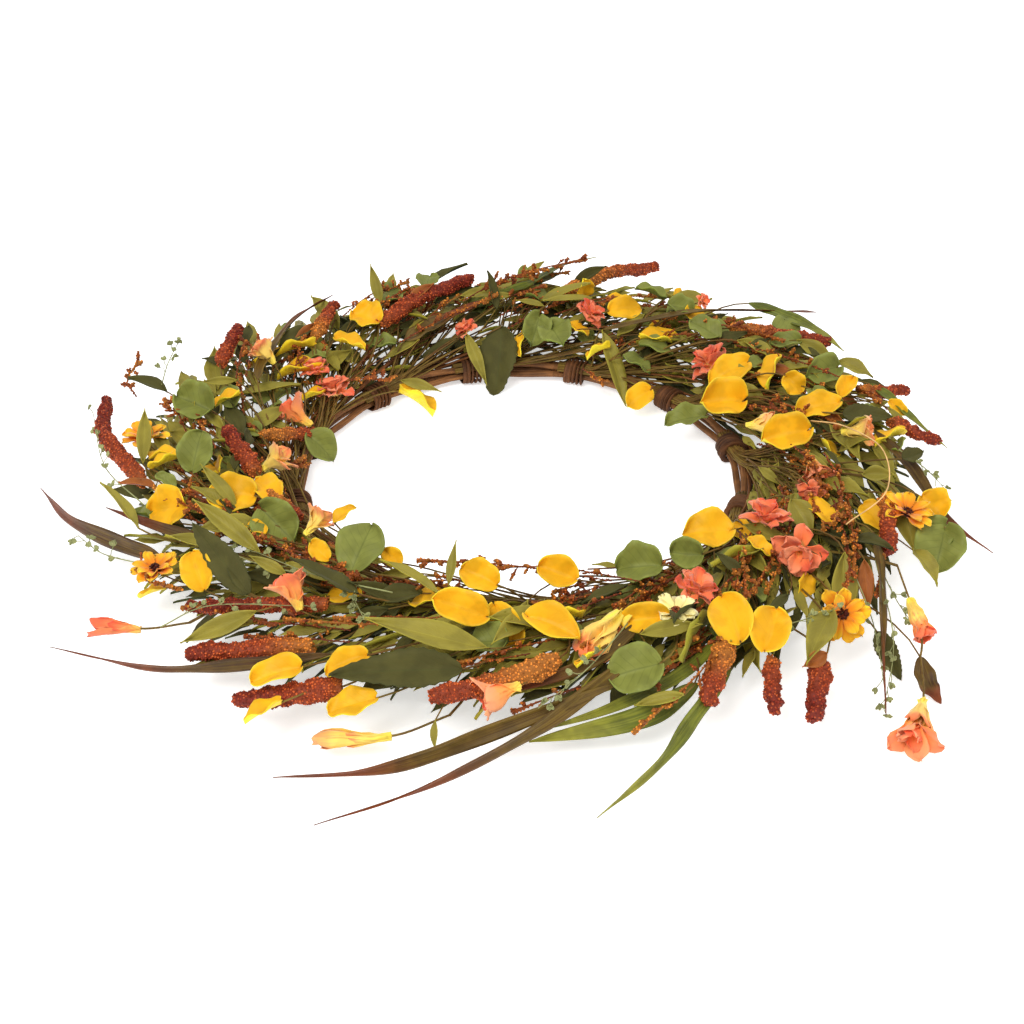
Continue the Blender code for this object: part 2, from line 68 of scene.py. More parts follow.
@dataclass(frozen=True)
class Ring:
    """The vine ring's middle and sizes, and the bed of foliage over it, in metres."""

    x: float
    y: float
    radius: float = 135 * MM
    height: float = 7.2 * MM
    bed_inner: float = 112 * MM
    bed_crest: float = 180 * MM
    bed_outer: float = 300 * MM
    bed_low: float = 5 * MM
    bed_high: float = 47 * MM
    lowest: float = 1.2 * MM
    bindings: int = 12
    first_binding: float = 16
    binding_half: float = 3.0

    def point(self, clock: float, radius: float, height: float) -> Vector:
        """The point at a clock angle, a radius and a height in metres."""
        angle = math.radians(clock)
        return Vector((self.x + radius * math.sin(angle), self.y + radius * math.cos(angle), height))

    def bed(self, radius: float) -> float:
        """Height of the bed: a rounded crest that falls to both edges.

        Args:
            radius: Where, in metres from the middle of the ring.

        Returns:
            The height in metres.
        """
        side = self.bed_crest - self.bed_inner if radius < self.bed_crest else self.bed_outer - self.bed_crest
        share = (radius - self.bed_crest) / side
        return self.bed_low + (self.bed_high - self.bed_low) * max(0.0, 1 - share * share)

    def station(self, clock: float, radius_mm: float, lift_mm: float = 0) -> Vector:
        """The point on the bed at a clock angle and a radius in mm, lifted by mm."""
        radius = radius_mm * MM
        return self.point(clock, radius, max(self.bed(radius) + lift_mm * MM, self.lowest))

    def clockwise(self, clock: float) -> Vector:
        """The clockwise direction along the ring."""
        angle = math.radians(clock)
        return Vector((math.cos(angle), -math.sin(angle), 0))

    def outward(self, clock: float) -> Vector:
        """The direction away from the middle of the ring."""
        angle = math.radians(clock)
        return Vector((math.sin(angle), math.cos(angle), 0))

    def heading(self, clock: float, heading: float, facing: Vector) -> Vector:
        """A direction in the plane that faces a given way.

        Args:
            clock: Where on the ring, in degrees.
            heading: Degrees from clockwise along the ring towards outward.
            facing: The unit normal of the plane.

        Returns:
            A unit vector square to facing.
        """
        along = self.clockwise(clock)
        along = (along - facing * along.dot(facing)).normalized()
        across = facing.cross(along)
        angle = math.radians(heading)
        return (along * math.cos(angle) + across * math.sin(angle)).normalized()

    def binding_clock(self, number: int) -> float:
        """Clock angle of the middle of a binding, counted from 1."""
        return self.first_binding + (number - 1) * 360 / self.bindings

    def held(self, binding: int, angle: float, spread: float) -> list[Vector]:
        """Where a stem runs through a binding.

        Args:
            binding: The binding's number.
            angle: Where it lies round the vines, in radians from outward to up.
            spread: How far it lies from the middle of the vines, in metres.

        Returns:
            A point before the binding, one in it and one after it.
        """
        clock = self.binding_clock(binding)
        return [self.point(clock + turn, self.radius + math.cos(angle) * spread,
                           self.height + math.sin(angle) * spread) for turn in (-5, 0, 3)]


def find_ring() -> Ring:
    """The ring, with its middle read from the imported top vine."""
    low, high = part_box("vine_top")
    return Ring(x=(low[0] + high[0]) / 2, y=(low[1] + high[1]) / 2)


RING = find_ring()
LEAN = Vector((0, -0.6, 0.8))      # the way most leaves face: up, leaning to the bottom of the wreath


def bent(start: Vector, way: Vector, end: Vector, end_way: Vector, count: int = 9,
         reach: float = 0.4) -> list[Vector]:
    """Points of a stem that leaves start along one direction and reaches end along another.

    Args:
        start: First point.
        way: Direction at the start.
        end: Last point.
        end_way: Direction at the end.
        count: How many points.
        reach: How far the stem keeps its way at each end, as a share of the distance.

    Returns:
        The points.
    """
    span = (end - start).length * reach
    a, b = start + way.normalized() * span, end - end_way.normalized() * span
    return [start * (1 - t) ** 3 + a * 3 * t * (1 - t) ** 2 + b * 3 * t * t * (1 - t) + end * t ** 3
            for t in np.linspace(0, 1, count)]


def smooth_path(points: list[Vector], count: int) -> list[Vector]:
    """Points along a smooth curve through the given ones.

    Args:
        points: What the curve goes through.
        count: How many points it gets, evenly spaced in parameter.

    Returns:
        The points.
    """
    last = len(points) - 1
    out = []
    for place in np.linspace(0, last, count):
        i = min(int(place), last - 1)
        t = place - i
        before = points[i - 1] if i > 0 else 2 * points[0] - points[1]
        after = points[i + 2] if i + 2 <= last else 2 * points[last] - points[last - 1]
        a, b = points[i], points[i + 1]
        out.append(0.5 * (2 * a + (b - before) * t + (2 * before - 5 * a + 4 * b - after) * t * t
                          + (3 * a - before - 3 * b + after) * t ** 3))
    return out


def route(stations: Stations, count: int) -> list[Vector]:
    """Points along a smooth curve through stations on the bed."""
    return smooth_path([RING.station(*station) for station in stations], count)


def tapered(start: float, end: float, count: int) -> list[float]:
    """Radii that go evenly from one to another."""
    return list(np.linspace(start, end, count))


def strayed(way: Vector, chance: np.random.Generator, spread: float) -> Vector:
    """A direction turned a little at random; not of unit length."""
    return way + Vector(chance.normal(0, spread, 3))


def turned_about(vector: Vector, axis: Vector, degrees: float) -> Vector:
    """The vector turned about an axis."""
    return Matrix.Rotation(math.radians(degrees), 3, axis) @ vector


# ---------------------------------------------------------------- meshes


def new_object(name: str, data: bpy.types.ID) -> bpy.types.Object:
    """A new object in the scene.

    Args:
        name: Its name.
        data: Its mesh, curve, light or camera.

    Returns:
        The object, at the origin.
    """
    made = bpy.data.objects.new(name, data)
    bpy.context.scene.collection.objects.link(made)
    return made


def unit_rows(vectors: np.ndarray) -> np.ndarray:
    """The vectors of the last axis, each with a length of 1."""
    return vectors / np.maximum(np.linalg.norm(vectors, axis=-1, keepdims=True), 1e-12)


class Shape:
    """A mesh under construction, from sheets and tubes that carry their own attributes.

    Each vertex has: along, 0 at a shape's base and 1 at its tip; across, -1 to 1 over its width;
    tint, a random value that each shape has for itself; back, 1 on the underside.
    """

    FIELDS = ("along", "across", "tint", "back")

    def __init__(self) -> None:
        """Start with no vertices."""
        self.points: list[np.ndarray] = []
        self.faces: list[np.ndarray] = []
        self.values: dict[str, list[np.ndarray]] = {name: [] for name in self.FIELDS}
        self.count = 0

    def add(self, points: np.ndarray, faces: np.ndarray, along: np.ndarray, across: np.ndarray,
            tint: float, back: np.ndarray) -> None:
        """Add vertices and quads with their attributes.

        Args:
            points: The vertices.
            faces: Four vertex numbers for each face; the last two are equal in a triangle.
            along: The along value of each vertex.
            across: The across value of each vertex.
            tint: The tint of them all.
            back: The back value of each vertex.
        """
        self.points.append(points)
        self.faces.append(faces + self.count)
        size = len(points)
        for name, array in zip(self.FIELDS, (along, across, np.full(size, tint), back)):
            self.values[name].append(np.broadcast_to(array, size))
        self.count += size

    def add_sheet(self, grid: np.ndarray, across: np.ndarray, thickness: float, tint: float) -> None:
        """Add a thin closed sheet.

        Args:
            grid: Rows by columns of points of the upper side, base to tip.
            across: The across value of each column.
            thickness: How thick the sheet is, in metres.
            tint: The random value of this sheet.
        """
        rows, columns = grid.shape[:2]
        normal = unit_rows(np.cross(np.gradient(grid, axis=0), np.gradient(grid, axis=1)))
        size = rows * columns
        points = np.concatenate([grid.reshape(-1, 3), (grid - normal * thickness).reshape(-1, 3)])
        index = np.arange(size).reshape(rows, columns)
        top = np.stack([index[:-1, :-1], index[1:, :-1], index[1:, 1:], index[:-1, 1:]], -1).reshape(-1, 4)
        rim = np.concatenate([index[0, :], index[1:, -1], index[-1, -2::-1], index[-2:0:-1, 0]])
        after = np.roll(rim, -1)
        edge = np.stack([rim, after, after + size, rim + size], -1)
        faces = np.concatenate([top, top[:, ::-1] + size, edge])
        along = np.repeat((1 - np.cos(np.linspace(0, np.pi, rows))) / 2, columns)
        back = np.repeat([0.0, 1.0], size)
        self.add(points, faces, np.tile(along, 2), np.tile(across, 2 * rows), tint, back)

    def add_tube(self, path: list[Vector], radii: list[float] | float, sides: int = 6,
                 tint: float = 0.5) -> None:
        """Add a closed tube along a path.

        Args:
            path: The points of its middle line.
            radii: Its radius at each point, or one radius for all.
            sides: How many sides its section has.
            tint: The random value of this tube.
        """
        line = np.array(path)
        count = len(line)
        sizes = np.broadcast_to(np.asarray(radii, float), count)
        way = unit_rows(np.gradient(line, axis=0))
        side = unit_rows(np.cross(way, np.array((0.03, 0.02, 1.0))))
        over = np.cross(side, way)
        angle = np.linspace(0, 2 * np.pi, sides, endpoint=False)
        ring = side[:, None] * np.cos(angle)[None, :, None] + over[:, None] * np.sin(angle)[None, :, None]
        body = line[:, None] + ring * sizes[:, None, None]
        points = np.concatenate([body.reshape(-1, 3), line[:1], line[-1:]])
        index = np.arange(count * sides).reshape(count, sides)
        after = np.roll(index, -1, axis=1)
        wall = np.stack([index[:-1], index[1:], after[1:], after[:-1]], -1).reshape(-1, 4)
        start, end = count * sides, count * sides + 1
        caps = [(start, index[0, k], after[0, k], after[0, k]) for k in range(sides)]
        caps += [(end, after[-1, k], index[-1, k], index[-1, k]) for k in range(sides)]
        along = np.concatenate([np.repeat(np.linspace(0, 1, count), sides), [0.0, 1.0]])
        across = np.concatenate([np.tile(np.cos(angle), count), [0.0, 0.0]])
        self.add(points, np.concatenate([wall, np.array(caps)]), along, across, tint, np.zeros(1))

    def make(self, name: str, material: bpy.types.Material) -> bpy.types.Object:
        """Finish the mesh.

        Args:
            name: The name of the piece.
            material: Its finish.

        Returns:
            The object, smooth, with its attributes and material.
        """
        quads = np.concatenate(self.faces)
        mesh = bpy.data.meshes.new(name)
        faces = [quad[:3] if quad[2] == quad[3] else quad for quad in quads.tolist()]
        mesh.from_pydata(np.concatenate(self.points).tolist(), [], faces)
        for key, arrays in self.values.items():
            mesh.attributes.new(key, "FLOAT", "POINT").data.foreach_set("value", np.concatenate(arrays))
        mesh.shade_smooth()
        mesh.materials.append(material)
        return new_object(name, mesh)


class Outline(Enum):
    """The outlines that leaves and petals are cut to."""

    ROUND = "round"
    LONG = "long"
    TOOTHED = "toothed"
    PETAL = "petal"

    def half_width(self, t: np.ndarray) -> np.ndarray:
        """Half width as a share of the greatest.

        Args:
            t: Shares of the length, from base to tip.

        Returns:
            The half width at each of them.
        """
        if self is Outline.ROUND:
            return np.sqrt(np.maximum(1 - (2 * t ** 0.92 - 1) ** 2, 0.012))
        if self is Outline.LONG:
            return np.maximum(np.sin(np.pi * t ** 0.8) ** 1.15, 0.03)
        if self is Outline.TOOTHED:
            teeth = 1 - 0.18 * ((t * 11) % 1.0)
            return np.maximum(np.sin(np.pi * t ** 0.68) ** 0.8 * teeth, 0.03)
        return (0.24 + 0.76 * np.sin(np.pi * 0.5 * t) ** 1.3) * np.sqrt(np.maximum(1 - t ** 7, 0.01))


@dataclass(frozen=True)
class Cut:
    """How a kind of leaf or petal is cut and shaped. Depths are shares of its width or length."""

    outline: Outline
    rows: int = 13
    columns: int = 7
    cup: float = 0.10
    droop: float = 0.10
    wave: float = 0.04
    fold: float = 6.0
    crease: float = 0.03
    notch: float = 0.0         # how far the sides of the base reach back past the stalk
    fray: float = 0.0          # how uneven the tip is
    thickness: float = 0.4 * MM

    def add(self, shape: Shape, base: Vector, way: Vector, facing: Vector, length: float, width: float,
            chance: np.random.Generator) -> None:
        """Add one leaf to a shape.

        Args:
            shape: The mesh that takes the leaf.
            base: Where the leaf joins its stalk.
            way: Unit direction from base to tip.
            facing: Unit normal of its upper side.
            length: Length in metres.
            width: Greatest width in metres.
            chance: Source of the small differences between leaves.
        """
        side = way.cross(facing).normalized()
        t = (1 - np.cos(np.linspace(0, np.pi, self.rows)))[:, None] / 2
        s = np.linspace(-1, 1, self.columns)[None, :]
        half = self.outline.half_width(t) * width / 2
        phase, ripple = chance.uniform(0, 2 * np.pi), chance.uniform(1.2, 2.2)
        bend = chance.uniform(0.5, 1.3) * self.droop
        skew = chance.normal(0, 0.05) * length
        lift = math.radians(self.fold) * chance.uniform(0.6, 1.4)
        rise = (self.cup * width * s * s * chance.uniform(0.5, 1.3)
                + np.abs(s) * half * math.sin(lift)
                + self.wave * width * np.sin(phase + ripple * 2 * np.pi * t + 1.5 * s) * np.abs(s)
                - bend * length * (t - 0.25) ** 2
                + self.crease * width * np.exp(-(s / 0.18) ** 2) * -1)
        ragged = self.fray * np.sin(4.5 * s + phase) * t ** 3
        forward = (t * (1 - 0.25 * bend * t) - self.notch * s * s * (1 - t) ** 3 + ragged) * length
        sideways = s * half * math.cos(lift) + skew * t * t
        grid = (np.array(base)[None, None] + np.array(way) * forward[..., None] * np.ones_like(s)[..., None]
                + np.array(side) * sideways[..., None] + np.array(facing) * rise[..., None])
        shape.add_sheet(grid, s[0], self.thickness, chance.uniform())


# ---------------------------------------------------------------- node trees


class Graph:
    """A node tree, with short calls for adding and joining nodes."""

    def __init__(self, tree: bpy.types.NodeTree) -> None:
        """Work on a tree."""
        self.tree = tree

    def node(self, kind: str, inputs: dict | None = None, **settings: object) -> bpy.types.Node:
        """Add a node.

        Args:
            kind: The node's type name.
            inputs: Values or output sockets for its inputs, by name or index.
            settings: Properties of the node.

        Returns:
            The node.
        """
        made = self.tree.nodes.new(kind)
        for key, value in settings.items():
            setattr(made, key, value)
        for key, value in (inputs or {}).items():
            if isinstance(value, Socket):
                self.tree.links.new(value, made.inputs[key])
            else:
                made.inputs[key].default_value = value
        return made

    def join(self, value: Socket, node: bpy.types.Node, name: str | int) -> None:
        """Lead an output to an input of a node."""
        self.tree.links.new(value, node.inputs[name])

    def math(self, operation: str, a: object, b: object = 0.0) -> Socket:
        """The result of a sum on one or two values."""
        return self.node("ShaderNodeMath", {0: a, 1: b}, operation=operation).outputs[0]

    def times(self, a: object, b: object) -> Socket:
        """One value times another."""
        return self.math("MULTIPLY", a, b)

    def plus(self, a: object, b: object) -> Socket:
        """One value and another together."""
        return self.math("ADD", a, b)

    def less(self, a: object, b: object) -> Socket:
        """One value less another."""
        return self.math("SUBTRACT", a, b)

    def mix(self, share: object, a: object, b: object, blend: str = "MIX") -> Socket:
        """A colour between two, or one blended on the other."""
        made = self.node("ShaderNodeMix", {0: share, 6: a, 7: b}, data_type="RGBA", blend_type=blend)
        return made.outputs[2]

    def step(self, value: object, low: float, high: float, to_low: float = 0.0,
             to_high: float = 1.0) -> Socket:
        """A smooth step of a value from one limit to another."""
        limits = {"Value": value, "From Min": low, "From Max": high, "To Min": to_low, "To Max": to_high}
        return self.node("ShaderNodeMapRange", limits, interpolation_type="SMOOTHSTEP").outputs["Result"]

    def shaded(self, colour: object, value: object, low: float, high: float) -> Socket:
        """A colour made darker or lighter.

        Args:
            colour: The colour.
            value: What decides its brightness, from 0 to 1.
            low: The brightness at 0.
            high: The brightness at 1.

        Returns:
            The colour as it comes out.
        """
        shade = self.step(value, 0.0, 1.0, low, high)
        grey = self.node("ShaderNodeCombineXYZ", {0: shade, 1: shade, 2: shade}).outputs[0]
        return self.mix(1.0, colour, grey, "MULTIPLY")

    def value(self, name: str) -> Socket:
        """One of the mesh's own attributes."""
        return self.node("ShaderNodeAttribute", attribute_name=name).outputs["Fac"]

    def noise(self, vector: object, scale: float, detail: float = 3.0) -> Socket:
        """Noise at a place."""
        inputs = {"Vector": vector, "Scale": scale, "Detail": detail}
        return self.node("ShaderNodeTexNoise", inputs).outputs["Fac"]

    def place(self) -> Socket:
        """The place on the object."""
        return self.node("ShaderNodeTexCoord").outputs["Object"]

    def group(self, tree: bpy.types.NodeTree, inputs: dict | None = None) -> bpy.types.Node:
        """A node group with its inputs set."""
        return self.node("ShaderNodeGroup", inputs, node_tree=tree)

    def streaks(self, count: float, length: float) -> bpy.types.Node:
        """Streaks along the shape that the surface belongs to."""
        inputs = {name.title(): self.value(name) for name in ("along", "across", "tint")}
        return self.group(STREAKS, inputs | {"Count": count, "Length": length})


def new_group(name: str, inputs: dict[str, float],
              outputs: tuple[str, ...]) -> tuple[Graph, dict[str, Socket], bpy.types.Node]:
    """Start a shader node group.

    Args:
        name: The group's name.
        inputs: Its value inputs with their defaults.
        outputs: The names of its value outputs.

    Returns:
        Its graph, its input sockets by name, and its output node.
    """
    tree = bpy.data.node_groups.new(name, "ShaderNodeTree")
    for key, value in inputs.items():
        tree.interface.new_socket(key, in_out="INPUT", socket_type="NodeSocketFloat").default_value = value
    for key in outputs:
        tree.interface.new_socket(key, in_out="OUTPUT", socket_type="NodeSocketFloat")
    graph = Graph(tree)
    source = graph.node("NodeGroupInput")
    return graph, {key: source.outputs[key] for key in inputs}, graph.node("NodeGroupOutput")


def leaf_print_group() -> bpy.types.NodeTree:
    """Make the print of a leaf.

    Returns:
        A group that gives its midrib and side veins, its rim, and its height for a bump.
    """
    graph, given, out = new_group("leaf_print", {"Along": 0, "Across": 0, "Veins": 7, "Slant": 0.35},
                                  ("Vein", "Rim", "Height"))
    side = graph.math("ABSOLUTE", given["Across"])
    rib = graph.step(side, 0.0, 0.07, 1.0, 0.0)
    place = graph.less(given["Along"], graph.times(side, given["Slant"]))
    wave = graph.math("FRACT", graph.times(place, given["Veins"]))
    near = graph.math("ABSOLUTE", graph.less(wave, 0.5))
    line = graph.step(near, 0.0, 0.10, 1.0, 0.0)
    fade = graph.step(side, 0.55, 0.95, 1.0, 0.0)
    vein = graph.math("MAXIMUM", rib, graph.times(graph.times(line, fade), 0.6))
    graph.join(vein, out, "Vein")
    graph.join(graph.step(side, 0.86, 1.0), out, "Rim")
    graph.join(graph.less(graph.times(near, 0.6), vein), out, "Height")
    return graph.tree


def streak_group() -> bpy.types.NodeTree:
    """Make fine lengthwise streaks, as in bark, straw and ribbed cloth.

    Returns:
        A group that gives the streaks and their height.
    """
    graph, given, out = new_group("streaks", {"Along": 0, "Across": 0, "Tint": 0, "Count": 9, "Length": 3},
                                  ("Streak", "Height"))
    vector = graph.node("ShaderNodeCombineXYZ", {
        "X": graph.times(given["Across"], given["Count"]), "Y": graph.times(given["Along"], given["Length"]),
        "Z": graph.times(given["Tint"], 37.0)}).outputs[0]
    noise = graph.noise(vector, 1.0, 4.0)
    graph.join(graph.step(noise, 0.3, 0.7), out, "Streak")
    graph.join(noise, out, "Height")
    return graph.tree


def mottle_group() -> bpy.types.NodeTree:
    """Make soft blotches and fine grain over a surface, by its place.

    Returns:
        A group that gives the two.
    """
    graph, _, out = new_group("mottle", {}, ("Blotch", "Grain"))
    place = graph.place()
    graph.join(graph.step(graph.noise(place, 90.0, 2.0), 0.35, 0.65), out, "Blotch")
    graph.join(graph.noise(place, 1400.0, 2.0), out, "Grain")
    return graph.tree


LEAF_PRINT = leaf_print_group()
STREAKS = streak_group()
MOTTLE = mottle_group()


def linear(colour: Colour) -> tuple[float, float, float, float]:
    """A colour given as it looks on a screen, 0 to 255, as the shader's linear values."""
    parts = [channel / 255 for channel in colour]
    return (*(c / 12.92 if c <= 0.04045 else ((c + 0.055) / 1.055) ** 2.4 for c in parts), 1.0)


def start_material(name: str, settings: dict) -> tuple[bpy.types.Material, Graph, bpy.types.Node]:
    """Start a material.

    Args:
        name: Its name.
        settings: Plain values of its Principled shader, by input name.

    Returns:
        The material, its graph and its shader.
    """
    made = bpy.data.materials.new(name)
    made.use_nodes = True
    shader = made.node_tree.nodes["Principled BSDF"]
    for key, value in settings.items():
        shader.inputs[key].default_value = value
    return made, Graph(made.node_tree), shader


def add_bump(graph: Graph, shader: bpy.types.Node, height: object, strength: float, depth: float) -> None:
    """Raise the surface by a height value."""
    bump = graph.node("ShaderNodeBump", {"Height": height, "Strength": strength, "Distance": depth})
    graph.join(bump.outputs["Normal"], shader, "Normal")


# ---------------------------------------------------------------- finishes


@dataclass(frozen=True)
class LeafPrint:
    """The printed cloth of a kind of leaf: its colours, veins and sheen."""

    name: str
    front: Colour
    second: Colour
    base: Colour
    back: Colour
    vein: Colour
    rim: Colour
    veins: float = 6.0
    base_reach: float = 0.55
    base_share: float = 0.6
    vein_share: float = 0.3
    rim_share: float = 0.35
    roughness: float = 0.5

    def material(self) -> bpy.types.Material:
        """Make the finish.

        Returns:
            Its material.
        """
        made, graph, shader = start_material(self.name, {
            "Roughness": self.roughness, "Specular IOR Level": 0.2, "Sheen Weight": 0.05})
        along = graph.value("along")
        pattern = graph.group(LEAF_PRINT, {"Along": along, "Across": graph.value("across"),
                                           "Veins": self.veins})
        mottle = graph.group(MOTTLE)
        colour = graph.mix(graph.value("tint"), linear(self.front), linear(self.second))
        reach = graph.times(graph.step(along, 0.0, self.base_reach, 1.0, 0.0), self.base_share)
        colour = graph.mix(reach, colour, linear(self.base))
        colour = graph.mix(graph.value("back"), colour, linear(self.back))
        colour = graph.mix(graph.times(pattern.outputs["Vein"], self.vein_share), colour, linear(self.vein))
        colour = graph.mix(graph.times(pattern.outputs["Rim"], self.rim_share), colour, linear(self.rim))
        graph.join(graph.shaded(colour, mottle.outputs["Blotch"], 0.86, 1.06), shader, "Base Color")
        height = graph.plus(pattern.outputs["Height"], graph.times(mottle.outputs["Grain"], 0.5))
        add_bump(graph, shader, height, 0.35, 0.25 * MM)
        return made


@dataclass(frozen=True)
class PetalDye:
    """Thin dyed petals, with one colour at the base, one on the way and one at the edge."""

    name: str
    base: Colour
    middle: Colour
    edge: Colour
    second_edge: Colour
    edge_start: float = 0.55
    roughness: float = 0.65

    def material(self) -> bpy.types.Material:
        """Make the finish.

        Returns:
            Its material.
        """
        made, graph, shader = start_material(self.name, {
            "Roughness": self.roughness, "Specular IOR Level": 0.25, "Sheen Weight": 0.25})
        streak = graph.streaks(5.0, 0.6)
        edge = graph.mix(graph.value("tint"), linear(self.edge), linear(self.second_edge))
        wobble = graph.times(graph.less(streak.outputs["Streak"], 0.5), 0.16)
        place = graph.plus(graph.value("along"), wobble)
        colour = graph.mix(graph.step(place, 0.02, 0.38), linear(self.base), linear(self.middle))
        colour = graph.mix(graph.step(place, self.edge_start, 0.95), colour, edge)
        colour = graph.shaded(colour, graph.group(MOTTLE).outputs["Blotch"], 0.9, 1.06)
        graph.join(colour, shader, "Base Color")
        add_bump(graph, shader, streak.outputs["Height"], 0.3, 0.3 * MM)
        return made


@dataclass(frozen=True)
class Straw:
    """Streaked finishes: bark, twigs, wire stems and long blades."""

    name: str
    light: Colour
    dark: Colour
    tip: Colour
    count: float = 3.0
    length: float = 22.0
    roughness: float = 0.7
    depth: float = 0.3 * MM
    tip_start: float = 2.0             # above 1, no part has the colour of the tip

    def material(self) -> bpy.types.Material:
        """Make the finish.

        Returns:
            Its material.
        """
        made, graph, shader = start_material(self.name, {
            "Roughness": self.roughness, "Specular IOR Level": 0.3})
        streak = graph.streaks(self.count, self.length)
        share = graph.plus(graph.times(streak.outputs["Streak"], 0.65),
                           graph.times(graph.value("tint"), 0.35))
        colour = graph.mix(share, linear(self.dark), linear(self.light))
        reach = graph.step(graph.value("along"), self.tip_start, self.tip_start + 0.4)
        colour = graph.mix(reach, colour, linear(self.tip))
        colour = graph.shaded(colour, graph.group(MOTTLE).outputs["Blotch"], 0.78, 1.1)
        graph.join(colour, shader, "Base Color")
        add_bump(graph, shader, streak.outputs["Height"], 0.7, self.depth)
        return made


@dataclass(frozen=True)
class GrainCoat:
    """Foam grains with a little glitter, whose colour runs from the foot of a spike to its tip."""

    name: str
    foot: Colour
    middle: Colour
    tip: Colour
    glitter: Colour
    glitter_share: float = 0.22

    def material(self) -> bpy.types.Material:
        """Make the finish.

        Returns:
            Its material.
        """
        made, graph, shader = start_material(self.name, {"Specular IOR Level": 0.3})
        tint = graph.value("tint")
        place = graph.plus(graph.value("along"), graph.times(graph.less(graph.value("spike"), 0.55), 0.9))
        colour = graph.mix(graph.step(place, 0.0, 0.5), linear(self.foot), linear(self.middle))
        colour = graph.mix(graph.step(place, 0.55, 1.1), colour, linear(self.tip))
        colour = graph.shaded(colour, tint, 0.42, 1.5)
        shiny = graph.step(tint, 1 - self.glitter_share, 1 - self.glitter_share / 2)
        colour = graph.mix(graph.times(shiny, 0.14), colour, linear(self.glitter))
        graph.join(colour, shader, "Base Color")
        graph.join(graph.times(shiny, 0.4), shader, "Metallic")
        graph.join(graph.step(tint, 0.6, 0.95, 0.62, 0.3), shader, "Roughness")
        add_bump(graph, shader, graph.noise(graph.place(), 900.0, 2.0), 0.4, 0.3 * MM)
        return made


FINISHES = {
    "gold": LeafPrint("gold_leaf", (255, 242, 54), (252, 218, 38), (250, 200, 22), (238, 178, 24),
                      (240, 170, 16), (255, 224, 60), veins=5, base_share=0.5, vein_share=0.24,
                      rim_share=0.25),
    "rust": LeafPrint("rust_leaf", (172, 78, 20), (190, 108, 28), (132, 56, 16), (150, 84, 34),
                      (196, 122, 50), (200, 132, 60), veins=8),
    "green": LeafPrint("green_leaf", (126, 142, 48), (72, 88, 28), (84, 96, 30), (128, 132, 60), (76, 86, 28),
                       (150, 162, 72), veins=6, vein_share=0.4),
    "sage": LeafPrint("sage_leaf", (184, 170, 46), (142, 140, 42), (140, 122, 32), (144, 132, 50),
                      (192, 180, 68), (180, 168, 60), veins=11, vein_share=0.2),
    "dark": LeafPrint("dark_leaf", (46, 52, 20), (70, 74, 28), (40, 44, 16), (78, 74, 32), (76, 84, 36),
                      (72, 78, 34), veins=9, roughness=0.7),
    "coral": PetalDye("coral_petal", (254, 214, 84), (252, 156, 76), (240, 96, 56), (254, 170, 116), 0.35),
    "rose": PetalDye("rose_petal", (254, 200, 96), (246, 134, 76), (228, 78, 44), (250, 152, 108), 0.42),
    "peach": PetalDye("peach_petal", (254, 228, 84), (254, 214, 104), (246, 128, 78), (252, 184, 112), 0.62),
    "cream": PetalDye("cream_petal", (246, 206, 80), (250, 232, 150), (252, 244, 196), (250, 236, 160)),
    "yellow": PetalDye("yellow_petal", (120, 36, 14), (240, 140, 10), (252, 204, 34), (250, 180, 24), 0.4),
    "heart": GrainCoat("flower_heart", (70, 20, 8), (96, 36, 10), (130, 60, 18), (190, 120, 40), 0.1),
    "grain": GrainCoat("grain", (206, 126, 46), (172, 70, 30), (146, 46, 24), (246, 170, 90), 0.4),
    "seed": GrainCoat("seed", (128, 56, 22), (168, 84, 26), (196, 120, 38), (246, 180, 80)),
    "bark": Straw("bark", (156, 104, 56), (82, 48, 24), (114, 76, 46), 4, 40, depth=0.8 * MM),
    "wrap": Straw("wrap", (120, 74, 38), (56, 30, 14), (96, 60, 32), 4, 16, depth=0.5 * MM),
    "twig": Straw("twig", (140, 86, 40), (80, 44, 20), (114, 88, 32), 2, 26),
    "stem": Straw("stem", (134, 112, 44), (92, 54, 22), (108, 112, 44), 2, 14),
    "blade": Straw("blade", (116, 92, 32), (62, 30, 12), (118, 56, 22), 8, 2.0, 0.5, 0.4 * MM, 0.5),
    "reed": Straw("reed", (128, 130, 38), (70, 82, 22), (146, 142, 46), 9, 2.5, 0.5, 0.4 * MM, 0.6),
    "wire": Straw("wire", (244, 204, 140), (230, 176, 108), (250, 214, 150), 1, 3),
    "fern": Straw("fern", (172, 172, 116), (134, 140, 88), (176, 176, 120), 2, 8),
}


# ---------------------------------------------------------------- geometry node trees


